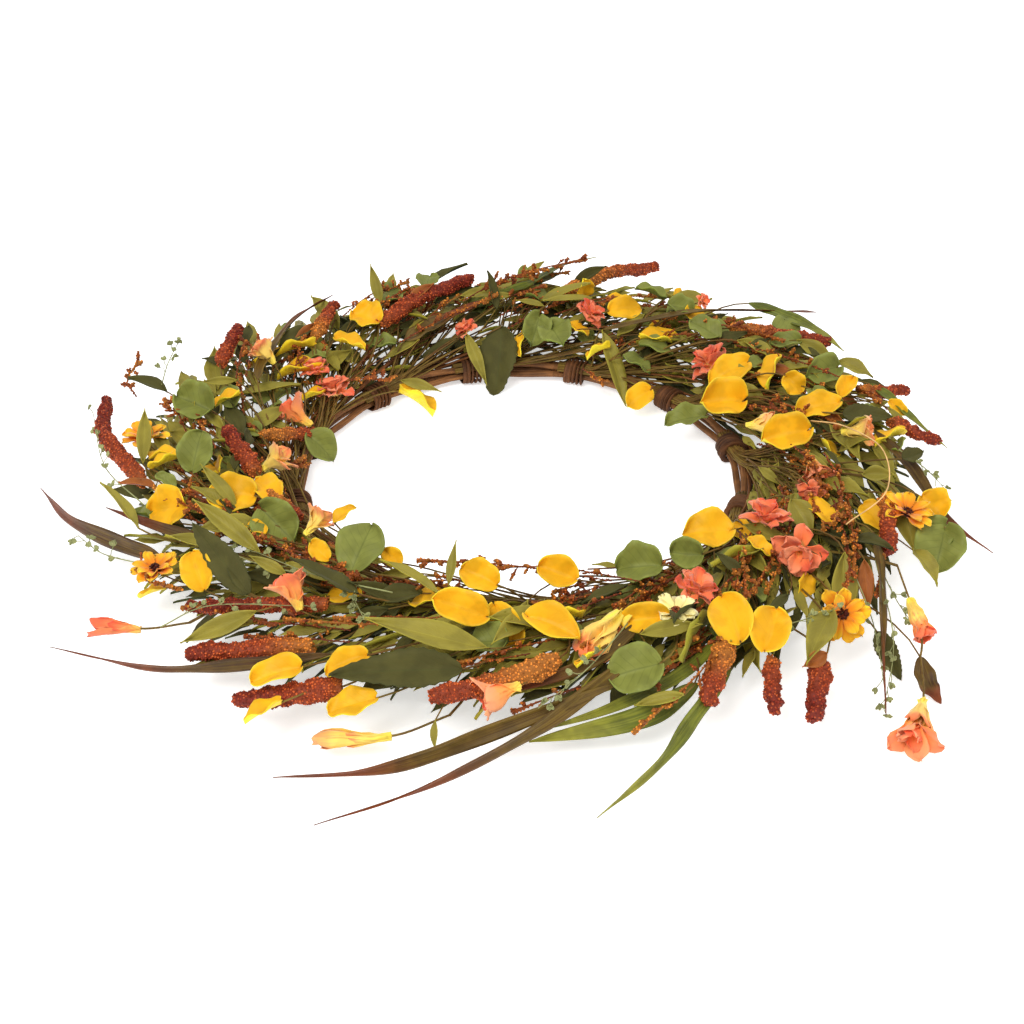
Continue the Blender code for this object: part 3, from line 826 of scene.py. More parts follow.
class Tree:
    """A Geometry Nodes tree with named inputs, used on objects and then applied."""

    SOCKETS = ((bpy.types.Material, "NodeSocketMaterial"), (type(None), "NodeSocketObject"),
               (int, "NodeSocketInt"), (float, "NodeSocketFloat"))

    def __init__(self, name: str, inputs: dict[str, float | int | bpy.types.Material | None]) -> None:
        """Start a tree.

        Args:
            name: The tree's name.
            inputs: Its inputs with their defaults: a whole number makes an integer input, and None
                an input for an object.
        """
        self.tree = bpy.data.node_groups.new(name, "GeometryNodeTree")
        face = self.tree.interface
        face.new_socket("Geometry", in_out="INPUT", socket_type="NodeSocketGeometry")
        face.new_socket("Geometry", in_out="OUTPUT", socket_type="NodeSocketGeometry")
        self.identifiers: dict[str, str] = {}
        for key, value in inputs.items():
            kind = next(kind for sort, kind in self.SOCKETS if isinstance(value, sort))
            socket = face.new_socket(key, in_out="INPUT", socket_type=kind)
            if value is not None:
                socket.default_value = value
            self.identifiers[key] = socket.identifier
        self.graph = Graph(self.tree)
        self.source = self.graph.node("NodeGroupInput")
        self.result = self.graph.node("NodeGroupOutput")

    def given(self, name: str) -> Socket:
        """An input of the tree."""
        return self.source.outputs[name]

    def store(self, geometry: object, name: str, value: object, domain: str = "POINT") -> Socket:
        """Keep a value on the geometry under a name.

        Args:
            geometry: The geometry.
            name: The name.
            value: The value of each element.
            domain: Which elements have it.

        Returns:
            The geometry with the value.
        """
        inputs = {"Geometry": geometry, "Name": name, "Value": value}
        return self.graph.node("GeometryNodeStoreNamedAttribute", inputs, data_type="FLOAT",
                               domain=domain).outputs[0]

    def named(self, name: str, kind: str = "FLOAT") -> Socket:
        """A value that the geometry keeps under a name."""
        return self.graph.node("GeometryNodeInputNamedAttribute", {"Name": name}, data_type=kind).outputs[0]

    def random(self, low: object, high: object, seed: object) -> Socket:
        """A random value for each element."""
        inputs = {2: low, 3: high, 8: seed}
        return self.graph.node("FunctionNodeRandomValue", inputs, data_type="FLOAT").outputs[1]

    def turn(self, seed: object, low: tuple[float, ...] = (0, 0, 0),
             high: tuple[float, ...] = (math.tau, math.tau, math.tau)) -> Socket:
        """A random rotation for each element, between two sets of angles."""
        inputs = {0: low, 1: high, 8: seed}
        return self.graph.node("FunctionNodeRandomValue", inputs, data_type="FLOAT_VECTOR").outputs[0]

    def factor(self) -> Socket:
        """The place along a curve, from 0 to 1."""
        return self.graph.node("GeometryNodeSplineParameter").outputs["Factor"]

    def circle(self, sides: object) -> Socket:
        """A circle of radius 1, to sweep along a curve."""
        inputs = {"Resolution": sides, "Radius": 1.0}
        return self.graph.node("GeometryNodeCurvePrimitiveCircle", inputs).outputs[0]

    def profile(self, sides: object) -> Socket:
        """A circle that keeps the place across the tube that it makes."""
        wave = self.graph.math("COSINE", self.graph.times(self.factor(), math.tau))
        return self.store(self.circle(sides), "across", wave)

    def tube(self, curve: object, profile: object, scale: object = 1.0) -> Socket:
        """A closed tube along a curve."""
        inputs = {"Curve": curve, "Profile Curve": profile, "Scale": scale, "Fill Caps": True}
        return self.graph.node("GeometryNodeCurveToMesh", inputs).outputs[0]

    def pushed(self, geometry: object, amount: object) -> Socket:
        """Geometry with its points moved along their normals.

        Args:
            geometry: The geometry.
            amount: How far, in metres.

        Returns:
            The geometry as it comes out.
        """
        normal = self.graph.node("GeometryNodeInputNormal").outputs[0]
        offset = self.graph.node("ShaderNodeVectorMath", {0: normal, "Scale": amount}, operation="SCALE")
        inputs = {"Geometry": geometry, "Offset": offset.outputs[0]}
        return self.graph.node("GeometryNodeSetPosition", inputs).outputs[0]

    def spread(self, mesh: object, density: float) -> Socket:
        """Points over a mesh that keep the tree's gap from each other.

        Args:
            mesh: The mesh.
            density: The most points for each square metre, before the gap thins them.

        Returns:
            The points.
        """
        inputs = {"Mesh": mesh, "Distance Min": self.given("Gap"), "Density Max": density,
                  "Density Factor": 1.0, "Seed": self.given("Seed")}
        return self.graph.node("GeometryNodeDistributePointsOnFaces", inputs,
                               distribute_method="POISSON").outputs["Points"]

    def copies(self, points: object, instance: object, rotation: object, size: object) -> Socket:
        """A copy of an instance on each point."""
        inputs = {"Points": points, "Instance": instance, "Rotation": rotation, "Scale": size}
        return self.graph.node("GeometryNodeInstanceOnPoints", inputs).outputs[0]

    def ball(self) -> Socket:
        """A grain of the tree's own size."""
        inputs = {"Radius": self.given("Grain"), "Subdivisions": 1}
        return self.graph.node("GeometryNodeMeshIcoSphere", inputs).outputs[0]

    def close(self, geometry: object) -> "Tree":
        """End the tree: instances made real, smooth, with the material of its Coat input.

        Args:
            geometry: What the tree has made.

        Returns:
            The tree.
        """
        real = self.graph.node("GeometryNodeRealizeInstances", {"Geometry": geometry}).outputs[0]
        smooth = self.graph.node("GeometryNodeSetShadeSmooth", {"Geometry": real}).outputs[0]
        dressed = self.graph.node("GeometryNodeSetMaterial", {"Geometry": smooth,
                                                              "Material": self.given("Coat")}).outputs[0]
        self.graph.join(dressed, self.result, 0)
        return self

    def apply(self, source: bpy.types.Object, values: dict[str, object]) -> bpy.types.Object:
        """Run the tree on an object and keep the plain mesh that it makes.

        Args:
            source: A curve or mesh object, which is removed.
            values: Values of the tree's inputs for this use.

        Returns:
            The new object, with the source's name.
        """
        modifier = source.modifiers.new("shape", "NODES")
        modifier.node_group = self.tree
        for key, value in values.items():
            modifier[self.identifiers[key]] = value
        bpy.context.view_layer.update()
        ready = source.evaluated_get(bpy.context.evaluated_depsgraph_get())
        mesh = bpy.data.meshes.new_from_object(ready)
        name = source.name
        bpy.data.objects.remove(source)
        mesh.name = name
        return new_object(name, mesh)


def curve_object(name: str, paths: list[list[Vector]], radii: list[list[float]] | None = None,
                 closed: bool = False) -> bpy.types.Object:
    """A curve object of straight-sided splines, for a tree to work on.

    Args:
        name: The object's name.
        paths: The points of each spline.
        radii: The radius at each point, or none for 1.
        closed: Whether the splines are closed.

    Returns:
        The object.
    """
    data = bpy.data.curves.new(name, "CURVE")
    data.dimensions = "3D"
    for i, path in enumerate(paths):
        spline = data.splines.new("POLY")
        spline.points.add(len(path) - 1)
        spline.use_cyclic_u = closed
        for k, point in enumerate(path):
            spline.points[k].co = (*point, 1)
            spline.points[k].radius = radii[i][k] if radii else 1.0
    return new_object(name, data)


def grain_tree(material: bpy.types.Material) -> Tree:
    """Grains packed over a tapered core that follows a curve; the curve's radius is the spike's.

    Args:
        material: The grains' finish.

    Returns:
        The tree.
    """
    tree = Tree("grains", {"Grain": 1.0 * MM, "Gap": 1.45 * MM, "Lumps": 0.5, "Seed": 1, "Coat": material})
    graph = tree.graph
    line = tree.store(tree.given("Geometry"), "along", tree.factor())
    line = tree.store(line, "spike", tree.random(0.0, 1.0, tree.given("Seed")), "CURVE")
    core = tree.tube(line, tree.circle(12), graph.node("GeometryNodeInputRadius").outputs[0])
    lumps = graph.node("ShaderNodeTexNoise", {"Scale": 210.0, "Detail": 1.0}).outputs["Fac"]
    push = graph.times(graph.times(graph.less(lumps, 0.5), tree.given("Lumps")), 12 * MM)
    core = tree.pushed(core, push)
    points = tree.store(tree.spread(core, 900000.0), "tint", tree.random(0.0, 1.0, 5))
    grains = tree.copies(points, tree.ball(), tree.turn(3), tree.random(0.7, 1.25, 9))
    both = graph.node("GeometryNodeJoinGeometry")
    graph.join(grains, both, 0)
    graph.join(tree.store(core, "tint", 0.25), both, 0)
    return tree.close(both.outputs[0])


def bark_tree(material: bpy.types.Material) -> Tree:
    """A vine: a tube along a curve with ridges and knots pushed out of it.

    Args:
        material: The vine's finish.

    Returns:
        The tree.
    """
    tree = Tree("vine", {"Radius": 2.0 * MM, "Ridges": 0.9 * MM, "Sides": 14, "Coat": material})
    graph = tree.graph
    line = tree.store(tree.given("Geometry"), "along", tree.factor())
    tube = tree.tube(line, tree.profile(tree.given("Sides")), tree.given("Radius"))
    spot = graph.node("ShaderNodeCombineXYZ", {0: graph.times(tree.named("along"), 24.0),
                                               1: graph.times(tree.named("across"), 2.2)}).outputs[0]
    bump = graph.less(graph.noise(spot, 1.6, 4.0), 0.5)
    tube = tree.pushed(tube, graph.times(bump, tree.given("Ridges")))
    return tree.close(tree.store(tube, "tint", 0.4))


def wrap_tree(material: bpy.types.Material) -> Tree:
    """A strip of bark wound round an axis along Z: a helix with a flat section.

    Args:
        material: The strip's finish.

    Returns:
        The tree.
    """
    tree = Tree("wrap", {"Radius": 7.4 * MM, "Length": 14 * MM, "Turns": 4.0, "Strip": 2.0 * MM,
                         "Flatness": 0.42, "Seed": 1, "Coat": material})
    graph = tree.graph
    helix = graph.node("GeometryNodeCurveSpiral", {
        "Resolution": 26, "Rotations": tree.given("Turns"), "Start Radius": tree.given("Radius"),
        "End Radius": tree.given("Radius"), "Height": tree.given("Length")}).outputs[0]
    helix = tree.store(helix, "along", tree.factor())
    size = graph.node("ShaderNodeCombineXYZ", {0: graph.times(tree.given("Strip"), tree.given("Flatness")),
                                               1: tree.given("Strip"), 2: 1.0}).outputs[0]
    profile = graph.node("GeometryNodeTransform", {"Geometry": tree.profile(10), "Scale": size}).outputs[0]
    strip = tree.tube(helix, profile)
    seed = graph.times(tree.given("Seed"), 3.7)
    place = graph.node("GeometryNodeInputPosition").outputs[0]
    noise = graph.node("ShaderNodeTexNoise", {"Vector": place, "Scale": 260.0, "W": seed, "Detail": 3.0},
                       noise_dimensions="4D").outputs["Fac"]
    strip = tree.pushed(strip, graph.times(graph.less(noise, 0.5), 1.6 * MM))
    return tree.close(tree.store(strip, "tint", graph.math("FRACT", seed)))


def berry_tree(material: bpy.types.Material) -> Tree:
    """Small grains on loose points; each point keeps its own tint and size.

    Args:
        material: The grains' finish.

    Returns:
        The tree.
    """
    tree = Tree("berries", {"Grain": 1.1 * MM, "Seed": 1, "Coat": material})
    points = tree.store(tree.given("Geometry"), "tint", tree.random(0.0, 1.0, tree.given("Seed")))
    return tree.close(tree.copies(points, tree.ball(), tree.turn(2), tree.random(0.65, 1.3, 4)))


def brush_tree(material: bpy.types.Material) -> Tree:
    """Small leaves scattered over a surface, each turned at random about the surface's own direction.

    Args:
        material: The leaves' finish.

    Returns:
        The tree.
    """
    tree = Tree("brush", {"Gap": 9 * MM, "Seed": 1, "Coat": material, "Leaf": None})
    graph = tree.graph
    leaf = graph.node("GeometryNodeObjectInfo", {"Object": tree.given("Leaf")}).outputs["Geometry"]
    points = tree.spread(tree.given("Geometry"), 30000.0)
    way = tree.named("way", "FLOAT_VECTOR")
    facing = graph.node("FunctionNodeAlignRotationToVector", {"Vector": way}, axis="Y")
    wobble = tree.turn(5, (-0.7, -0.9, -0.6), (0.25, 0.9, 0.6))
    turned = graph.node("FunctionNodeRotateRotation", {"Rotation": facing.outputs[0], "Rotate By": wobble},
                        rotation_space="LOCAL").outputs[0]
    return tree.close(tree.copies(points, leaf, turned, tree.random(0.55, 1.25, 6)))


# ---------------------------------------------------------------- pieces on the ring

BODY = "wreath"
FLOOR_SOFT = 3 * MM        # foliage nearer the back plane than this is pressed together above it


def press_down(piece: bpy.types.Object) -> None:
    """Keep a piece's points above the back plane, in their own order.

    Args:
        piece: The piece.
    """
    mesh = piece.data
    spots = np.empty(len(mesh.vertices) * 3, np.float32)
    mesh.vertices.foreach_get("co", spots)
    spots = spots.reshape(-1, 3)
    low = spots[:, 2] < FLOOR_SOFT
    spots[low, 2] = FLOOR_SOFT * np.exp((spots[low, 2] - FLOOR_SOFT) / FLOOR_SOFT)
    mesh.vertices.foreach_set("co", spots.ravel())
    mesh.update()


def pick_node(pick: str, binding: int) -> tuple[str, ...]:
    """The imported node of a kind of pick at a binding, if there is one."""
    name = f"{pick}_pick_{binding:02d}"
    return (name,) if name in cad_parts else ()


def settle(piece: bpy.types.Object, nodes: tuple[str, ...] = (), body: str = BODY) -> None:
    """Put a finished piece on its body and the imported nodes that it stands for.

    Args:
        piece: The finished piece.
        nodes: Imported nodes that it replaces.
        body: The body that it moves with.
    """
    if body == BODY:
        press_down(piece)
    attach(piece, body)
    if nodes:
        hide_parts(*nodes)
    LOG.info("%s: %d faces", piece.name, len(piece.data.polygons))


@dataclass(frozen=True)
class VineRing:
    """Three vines that touch in the bindings and bow apart between them."""

    radius: float = 2.1 * MM
    offset: float = 2.5 * MM
    spread: float = 1.6 * MM
    steps: int = 9

    def path(self, angle: float) -> list[Vector]:
        """The closed path of one vine.

        Args:
            angle: Where it lies round the others, in radians from outward to up.

        Returns:
            Its points.
        """
        out = []
        span = 360 / RING.bindings
        free = span - 2 * RING.binding_half
        for number in range(1, RING.bindings + 1):
            middle = RING.binding_clock(number)
            for step in range(self.steps):
                turn = -RING.binding_half + span * step / self.steps
                share = max(0.0, (turn - RING.binding_half) / free)
                offset = self.offset + self.spread * math.sin(math.pi * share) ** 2
                out.append(RING.point(middle + turn, RING.radius + offset * math.cos(angle),
                                      RING.height + offset * math.sin(angle)))
        return out

    def build(self, tree: Tree) -> None:
        """Make the three vines.

        Args:
            tree: The tree of a vine.
        """
        for number, node in enumerate(("vine_top", "vine_inner", "vine_outer")):
            line = curve_object(f"{node}_bark", [self.path(math.radians(90 + 120 * number))], closed=True)
            settle(tree.apply(line, {"Radius": self.radius}), (node,))


@dataclass(frozen=True)
class Bindings:
    """The wraps of bark strip round the vines and stems."""

    radius: float = 8.0 * MM
    length: float = 13 * MM
    turns: float = 5.0
    strip: float = 1.75 * MM
    flatness: float = 0.42

    def build(self, tree: Tree) -> None:
        """Make one wrap at each binding.

        Args:
            tree: The tree of a wrap.
        """
        for number in range(1, RING.bindings + 1):
            source = curve_object(f"binding_wrap_{number:02d}", [[Vector(), Vector((0, 0, 1))]])
            piece = tree.apply(source, {
                "Radius": self.radius - self.strip * self.flatness, "Length": self.length,
                "Turns": self.turns, "Strip": self.strip, "Flatness": self.flatness, "Seed": number})
            clock = RING.binding_clock(number)
            way = RING.clockwise(clock)
            turn = Matrix((RING.outward(clock), Vector((0, 0, 1)), way)).transposed().to_4x4()
            start = RING.point(clock, RING.radius, RING.height) - way * self.length / 2
            piece.data.transform(Matrix.Translation(start) @ turn)
            settle(piece, (f"binding_{number:02d}",))


class Stems:
    """Thin stems, gathered by the binding that holds them."""

    def __init__(self) -> None:
        """Start with no stems."""
        self.shapes: dict[int, Shape] = {}
        self.chance = np.random.default_rng(11)

    def run(self, binding: int, base: Vector, way: Vector, radius: float = 0.85 * MM) -> None:
        """Lead a stem from its binding to the base of a head.

        Args:
            binding: The binding that holds it.
            base: Where the head starts.
            way: The head's direction.
            radius: The stem's radius at the binding.
        """
        shape = self.shapes.setdefault(binding, Shape())
        angle = math.radians(self.chance.uniform(5, 150))
        held = RING.held(binding, angle, self.chance.uniform(4.4, 6.2) * MM)
        leave = held[-1] - held[-2]
        sweep = ((base - held[-1]).normalized() + leave.normalized() * 0.3).normalized()
        path = held[:2] + bent(held[-1], leave, base, sweep + way * max(0.0, 0.4 + sweep.dot(way)), 14, 0.33)
        shape.add_tube(path, tapered(radius, radius * 0.6, len(path)), 5, self.chance.uniform())

    def build(self, material: bpy.types.Material) -> None:
        """Make one piece of the stems of each binding."""
        for binding, shape in sorted(self.shapes.items()):
            settle(shape.make(f"stems_{binding:02d}", material))


@dataclass(frozen=True)
class Twigs:
    """Bare twigs that run along the ring in loose bundles, in and out of its bindings."""

    count: int = 60
    points: int = 15
    flatness: float = 0.65
    seed: int = 5

    def build(self, material: bpy.types.Material) -> None:
        """Make the twigs, one piece for each quarter of the ring.

        Args:
            material: Their finish.
        """
        chance = np.random.default_rng(self.seed)
        shapes = [Shape() for _ in range(4)]
        for number in range(self.count):
            start = chance.uniform(0, 360)
            reach = chance.uniform(40, 95)
            angle = chance.uniform(0.0, 1.3)
            near, far = chance.uniform(5, 8), chance.uniform(24, 62)
            path = []
            for share in np.linspace(0, 1, self.points):
                away = (near + (far - near) * share ** 1.4 + 1.5 * math.sin(share * 9 + number)) * MM
                path.append(RING.point(start + reach * share, RING.radius + away * math.cos(angle),
                                       RING.height + away * math.sin(angle) * self.flatness))
            size = chance.uniform(0.8, 1.3) * MM
            radii = tapered(size, size * 0.45, self.points)
            shapes[int(start // 90)].add_tube(path, radii, 6, chance.uniform())
        for number, shape in enumerate(shapes, 1):
            settle(shape.make(f"twigs_{number}", material))


# ---------------------------------------------------------------- leaves


@dataclass(frozen=True)
class Head:
    """Where a leaf or blossom joins its stem, the way it points, and its size in mm."""

    clock: float
    radius: float
    heading: float
    length: float
    width: float
    lift: float = 3.0

    def base(self) -> Vector:
        """The point where it joins its stem."""
        return RING.station(self.clock, self.radius, self.lift)


Planting = dict[int, tuple[tuple[float, ...], ...]]


@dataclass(frozen=True)
class Leafage:
    """All leaves of one finish, planted by binding."""

    finish: str
    slot: str
    cut: Cut
    planting: Planting
    natural: float = 0.82      # width of a leaf as a share of its length, when it isn't seen edge on
    sway: float = 9.0          # degrees that leaves differ in the way they face
    seed: int = 1

    def build(self, materials: Materials, stems: Stems) -> None:
        """Make one piece of the leaves at each binding, and their stems.

        Args:
            materials: All finishes.
            stems: What takes the stems.
        """
        chance = np.random.default_rng(self.seed)
        for binding, entries in sorted(self.planting.items()):
            shape = Shape()
            for entry in entries:
                head = Head(*entry)
                facing = strayed(LEAN, chance, math.radians(self.sway)).normalized()
                way = RING.heading(head.clock, head.heading, facing)
                width = head.width
                if head.width < self.natural * head.length * 0.8:
                    width = max(head.width, self.natural * head.length * 0.75)
                    roll = math.degrees(math.acos(min(1.0, head.width / width)))
                    facing = max((turned_about(facing, way, side * roll) for side in (-1, 1)),
                                 key=lambda option: option.z)
                self.cut.add(shape, head.base(), way, facing, head.length * MM, width * MM, chance)
                stems.run(binding, head.base(), way)
            piece = shape.make(f"{self.finish}_leaves_{binding:02d}", materials[self.finish])
            settle(piece, pick_node(self.finish, binding))


ROUND_CUT = Cut(Outline.ROUND, 14, 9, cup=0.18, droop=0.3, wave=0.11, fold=14, crease=0.05, notch=0.05,
                thickness=0.6 * MM)
LONG_CUT = Cut(Outline.LONG, 15, 7, cup=0.10, droop=0.12, wave=0.05, fold=16, crease=0.05)
FILL_LONG = Cut(Outline.LONG, 11, 5, cup=0.14, droop=0.2, wave=0.07, fold=14, crease=0.04)
FILL_ROUND = Cut(Outline.ROUND, 10, 7, cup=0.14, droop=0.22, wave=0.08, fold=9, crease=0.04)
TOOTHED_CUT = Cut(Outline.TOOTHED, 34, 7, cup=0.05, droop=0.10, wave=0.05, fold=10, crease=0.05)

# Each leaf is its clock angle, radius, heading, length and width; the numbers before are bindings.
GOLD_PLANTING: Planting = {
    1: ((33, 144, 31, 23, 12), (44, 121, -106, 20, 17)),
    2: ((63, 161, -93, 31, 20), (66, 178, -55, 26, 11), (73, 171, 21, 16, 16), (74, 143, -103, 28, 27),
        (83, 226, 37, 14, 9), (83, 194, 141, 19, 12), (85, 193, -88, 28, 18)),
    3: ((92, 228, -68, 23, 8), (95, 170, -69, 30, 23), (108, 237, 66, 18, 22)),
    4: ((136, 164, -36, 28, 23), (137, 178, 108, 16, 9), (150, 244, -134, 27, 22)),
    5: ((152, 235, -100, 31, 23), (159, 208, -8, 26, 17), (170, 167, -29, 23, 18), (179, 197, 161, 31, 19)),
    6: ((184, 188, 116, 26, 17), (184, 170, -22, 23, 18), (185, 198, -15, 30, 19), (196, 253, 25, 26, 15),
        (199, 232, 28, 24, 14), (203, 162, -32, 13, 11), (206, 266, 48, 21, 8), (206, 247, 35, 27, 16)),
    7: ((214, 179, -7, 16, 11), (225, 232, -32, 25, 18), (230, 135, -96, 16, 8), (238, 159, 12, 21, 17)),
    8: ((240, 170, 64, 28, 24), (243, 206, 47, 24, 25), (256, 217, -89, 22, 7), (259, 217, -79, 20, 7)),
    9: ((279, 172, 123, 18, 7), (296, 136, 143, 18, 6)),
    10: ((301, 146, 132, 31, 10), (306, 162, 144, 28, 8), (311, 158, -59, 22, 12), (319, 119, -61, 29, 8),
         (324, 157, 118, 22, 22)),
    12: ((1, 137, -104, 18, 5), (12, 143, -4, 18, 9), (22, 157, 30, 25, 17), (26, 135, -141, 19, 5)),
}
GREEN_PLANTING: Planting = {
    1: ((31, 131, 1, 22, 10), (32, 181, 180, 22, 9), (34, 140, 28, 25, 14), (34, 175, 24, 19, 15),
        (51, 164, -172, 24, 17)),
    2: ((61, 205, -111, 21, 12), (68, 125, -106, 28, 16), (72, 209, -85, 24, 20)),
    4: ((111, 254, -25, 23, 21), (112, 254, 2, 28, 29), (146, 172, -24, 18, 18)),
    5: ((154, 169, -26, 27, 24), (163, 235, 0, 29, 26)),
    6: ((209, 181, -86, 31, 26),),
    7: ((235, 173, 180, 29, 27),),
    8: ((249, 207, 33, 14, 8), (252, 195, -38, 27, 21)),
    9: ((272, 184, 71, 26, 25), (277, 130, -108, 24, 20)),
    10: ((305, 151, 115, 18, 9), (325, 141, 136, 22, 12)),
    12: ((5, 148, -99, 24, 20), (8, 142, -57, 22, 23)),
}
SAGE_PLANTING: Planting = {
    1: ((55, 169, 38, 27, 9),),
    2: ((61, 202, 24, 32, 12), (70, 212, 46, 25, 12), (83, 226, -87, 25, 6), (85, 223, 33, 24, 6)),
    3: ((105, 143, 68, 18, 6), (108, 203, 98, 19, 10), (110, 226, 23, 35, 13)),
    4: ((121, 174, 67, 24, 15), (128, 219, 49, 43, 15), (133, 165, 121, 31, 9), (138, 240, 21, 41, 15)),
    5: ((164, 216, -175, 34, 9),),
    6: ((184, 219, -2, 65, 15), (192, 176, -91, 25, 5), (193, 184, -23, 37, 7)),
    7: ((216, 228, 51, 43, 11), (217, 201, 6, 23, 7), (224, 197, 1, 50, 12)),
    8: ((243, 234, 7, 38, 7), (258, 221, -6, 38, 9)),
    9: ((281, 146, 141, 31, 11), (284, 179, 112, 23, 6), (292, 147, 125, 51, 8)),
    10: ((321, 123, -61, 30, 8),),
    11: ((332, 140, -175, 29, 7), (345, 139, -80, 40, 9), (346, 166, 4, 39, 9), (358, 164, -171, 24, 7)),
    12: ((6, 155, 170, 20, 5), (17, 165, -155, 35, 7), (22, 143, -55, 58, 11)),
}
DARK_PLANTING: Planting = {
    2: ((89, 192, 79, 30, 15),),
    3: ((100, 224, 121, 15, 12),),
    4: ((132, 252, 70, 29, 13, -14), (144, 196, -65, 17, 7)),
    6: ((187, 232, 8, 66, 22), (205, 196, -4, 40, 10)),
    7: ((219, 221, -21, 26, 9), (219, 222, -20, 55, 18)),
    11: ((342, 136, -170, 29, 8), (355, 141, -96, 51, 28)),
}
RUST_PLANTING: Planting = {
    4: ((127, 229, 46, 28, 9), (143, 257, 4, 15, 9)),
    11: ((334, 170, 9, 22, 8),),
}


# ---------------------------------------------------------------- spikes, blades and sprigs


@dataclass(frozen=True)
class Spikes:
    """Grain spikes on wire stems, planted by binding: each is a width in mm and its stations."""

    planting: dict[int, tuple[tuple[float, Stations], ...]]
    grain: float = 0.68 * MM
    gap: float = 1.05 * MM
    lumps: float = 0.65
    points: int = 24

    def build(self, tree: Tree, stems: Stems) -> None:
        """Make one piece of the spikes at each binding, and their stems.

        Args:
            tree: The tree of the grains.
            stems: What takes the stems.
        """
        shares = np.linspace(0, 1, self.points)
        outline = np.minimum(1, 0.55 + 2.6 * shares) * (1 - 0.34 * shares)
        outline *= np.sqrt(np.clip((1.03 - shares) / 0.08, 0.05, 1))
        for binding, spikes in sorted(self.planting.items()):
            paths, radii = [], []
            for width, stations in spikes:
                path = route(stations, self.points)
                paths.append(path)
                radii.append([(width / 2 * MM - self.grain * 0.6) * float(share) for share in outline])
                stems.run(binding, path[0], (path[1] - path[0]).normalized(), 0.9 * MM)
            line = curve_object(f"spikes_{binding:02d}", paths, radii)
            piece = tree.apply(line, {"Grain": self.grain, "Gap": self.gap, "Seed": binding + 30,
                                      "Lumps": self.lumps})
            settle(piece, pick_node("amaranth", binding))


SPIKE_PLANTING = {
    1: ((10, ((50, 178, 2), (62, 226, 3))),),
    2: ((9, ((79, 212, 0), (77, 249, 2))), (9, ((88, 220, 0), (91, 251, 2)))),
    4: ((11, ((110, 219, 0), (122, 235, 0))),),
    5: ((14, ((153, 229, -2), (159, 254, -5))), (10, ((149, 244, -3), (152, 267, -6))),
        (13, ((143, 254, -5), (148, 275, -9)))),
    6: ((13, ((175, 222, 0), (182, 236, 1), (190, 249, 4))),),
    7: ((13, ((201, 246, -4), (212, 268, -5))), (12, ((207, 230, -3), (221, 260, -3))),
        (10, ((209, 204, -2), (226, 242, -2))), (7, ((240, 161, 4), (231, 156, 2)))),
    8: ((11, ((254, 222, 0), (270, 248, 3), (281, 262, 5))), (12, ((250, 160, 2), (265, 173, 4)))),
    9: ((10, ((290, 200, 2), (302, 214, 7))), (8, ((266, 153, 3), (285, 122, 3)))),
    10: ((12, ((324, 158, 2), (337, 170, 3), (350, 180, 7))), (10, ((308, 168, 2), (320, 190, 4)))),
    12: ((11, ((9, 166, 2), (16, 214, -1), (22, 262, 3))),),
}


@dataclass(frozen=True)
class Blades:
    """Long twisted grass blades by binding: each is a width in mm, a twist in degrees and stations."""

    name: str
    finish: str
    planting: dict[int, tuple[tuple[float, float, Stations], ...]]
    rows: int = 40
    columns: int = 7
    thickness: float = 0.35 * MM
    seed: int = 4

    def build(self, materials: Materials, stems: Stems) -> None:
        """Make one piece of the blades at each binding, and their stems.

        Args:
            materials: All finishes.
            stems: What takes the stems.
        """
        chance = np.random.default_rng(self.seed)
        for binding, blades in sorted(self.planting.items()):
            shape = Shape()
            for width, twist, stations in blades:
                path = route(stations, self.rows)
                self.add(shape, path, width * MM, twist, chance)
                stems.run(binding, path[0], (path[1] - path[0]).normalized(), 0.8 * MM)
            piece = shape.make(f"{self.name}_{binding:02d}", materials[self.finish])
            settle(piece, pick_node("blade", binding))

    def add(self, shape: Shape, path: list[Vector], width: float, twist: float,
            chance: np.random.Generator) -> None:
        """Add one blade.

        Args:
            shape: The mesh that takes it.
            path: Its middle line, base to tip.
            width: Its greatest width.
            twist: Degrees that it turns about its own length.
            chance: Source of small differences.
        """
        line = np.array(path)
        way = unit_rows(np.gradient(line, axis=0))
        flat = unit_rows(np.cross(way, np.array(LEAN)))
        up = np.cross(flat, way)
        t = np.linspace(0, 1, self.rows)
        angle = np.radians(chance.uniform(-20, 25) + twist * t)
        half = width / 2 * np.maximum(np.sin(np.pi * t ** 0.8) ** 0.75, 0.07)
        side = flat * np.cos(angle)[:, None] + up * np.sin(angle)[:, None]
        over = np.cross(side, way)
        s = np.linspace(-1, 1, self.columns)
        ribs = 0.10 * np.cos(s * 3 * np.pi) + 0.35 * s * s
        ripple = 0.15 * np.sin(2 * np.pi * 3 * t + chance.uniform(0, 6))
        grid = (line[:, None] + side[:, None] * (half[:, None] * s[None, :])[..., None]
                + over[:, None] * (half[:, None] * (ribs[None, :] + ripple[:, None] * s[None, :]))[..., None])
        shape.add_sheet(grid, s, self.thickness, chance.uniform())


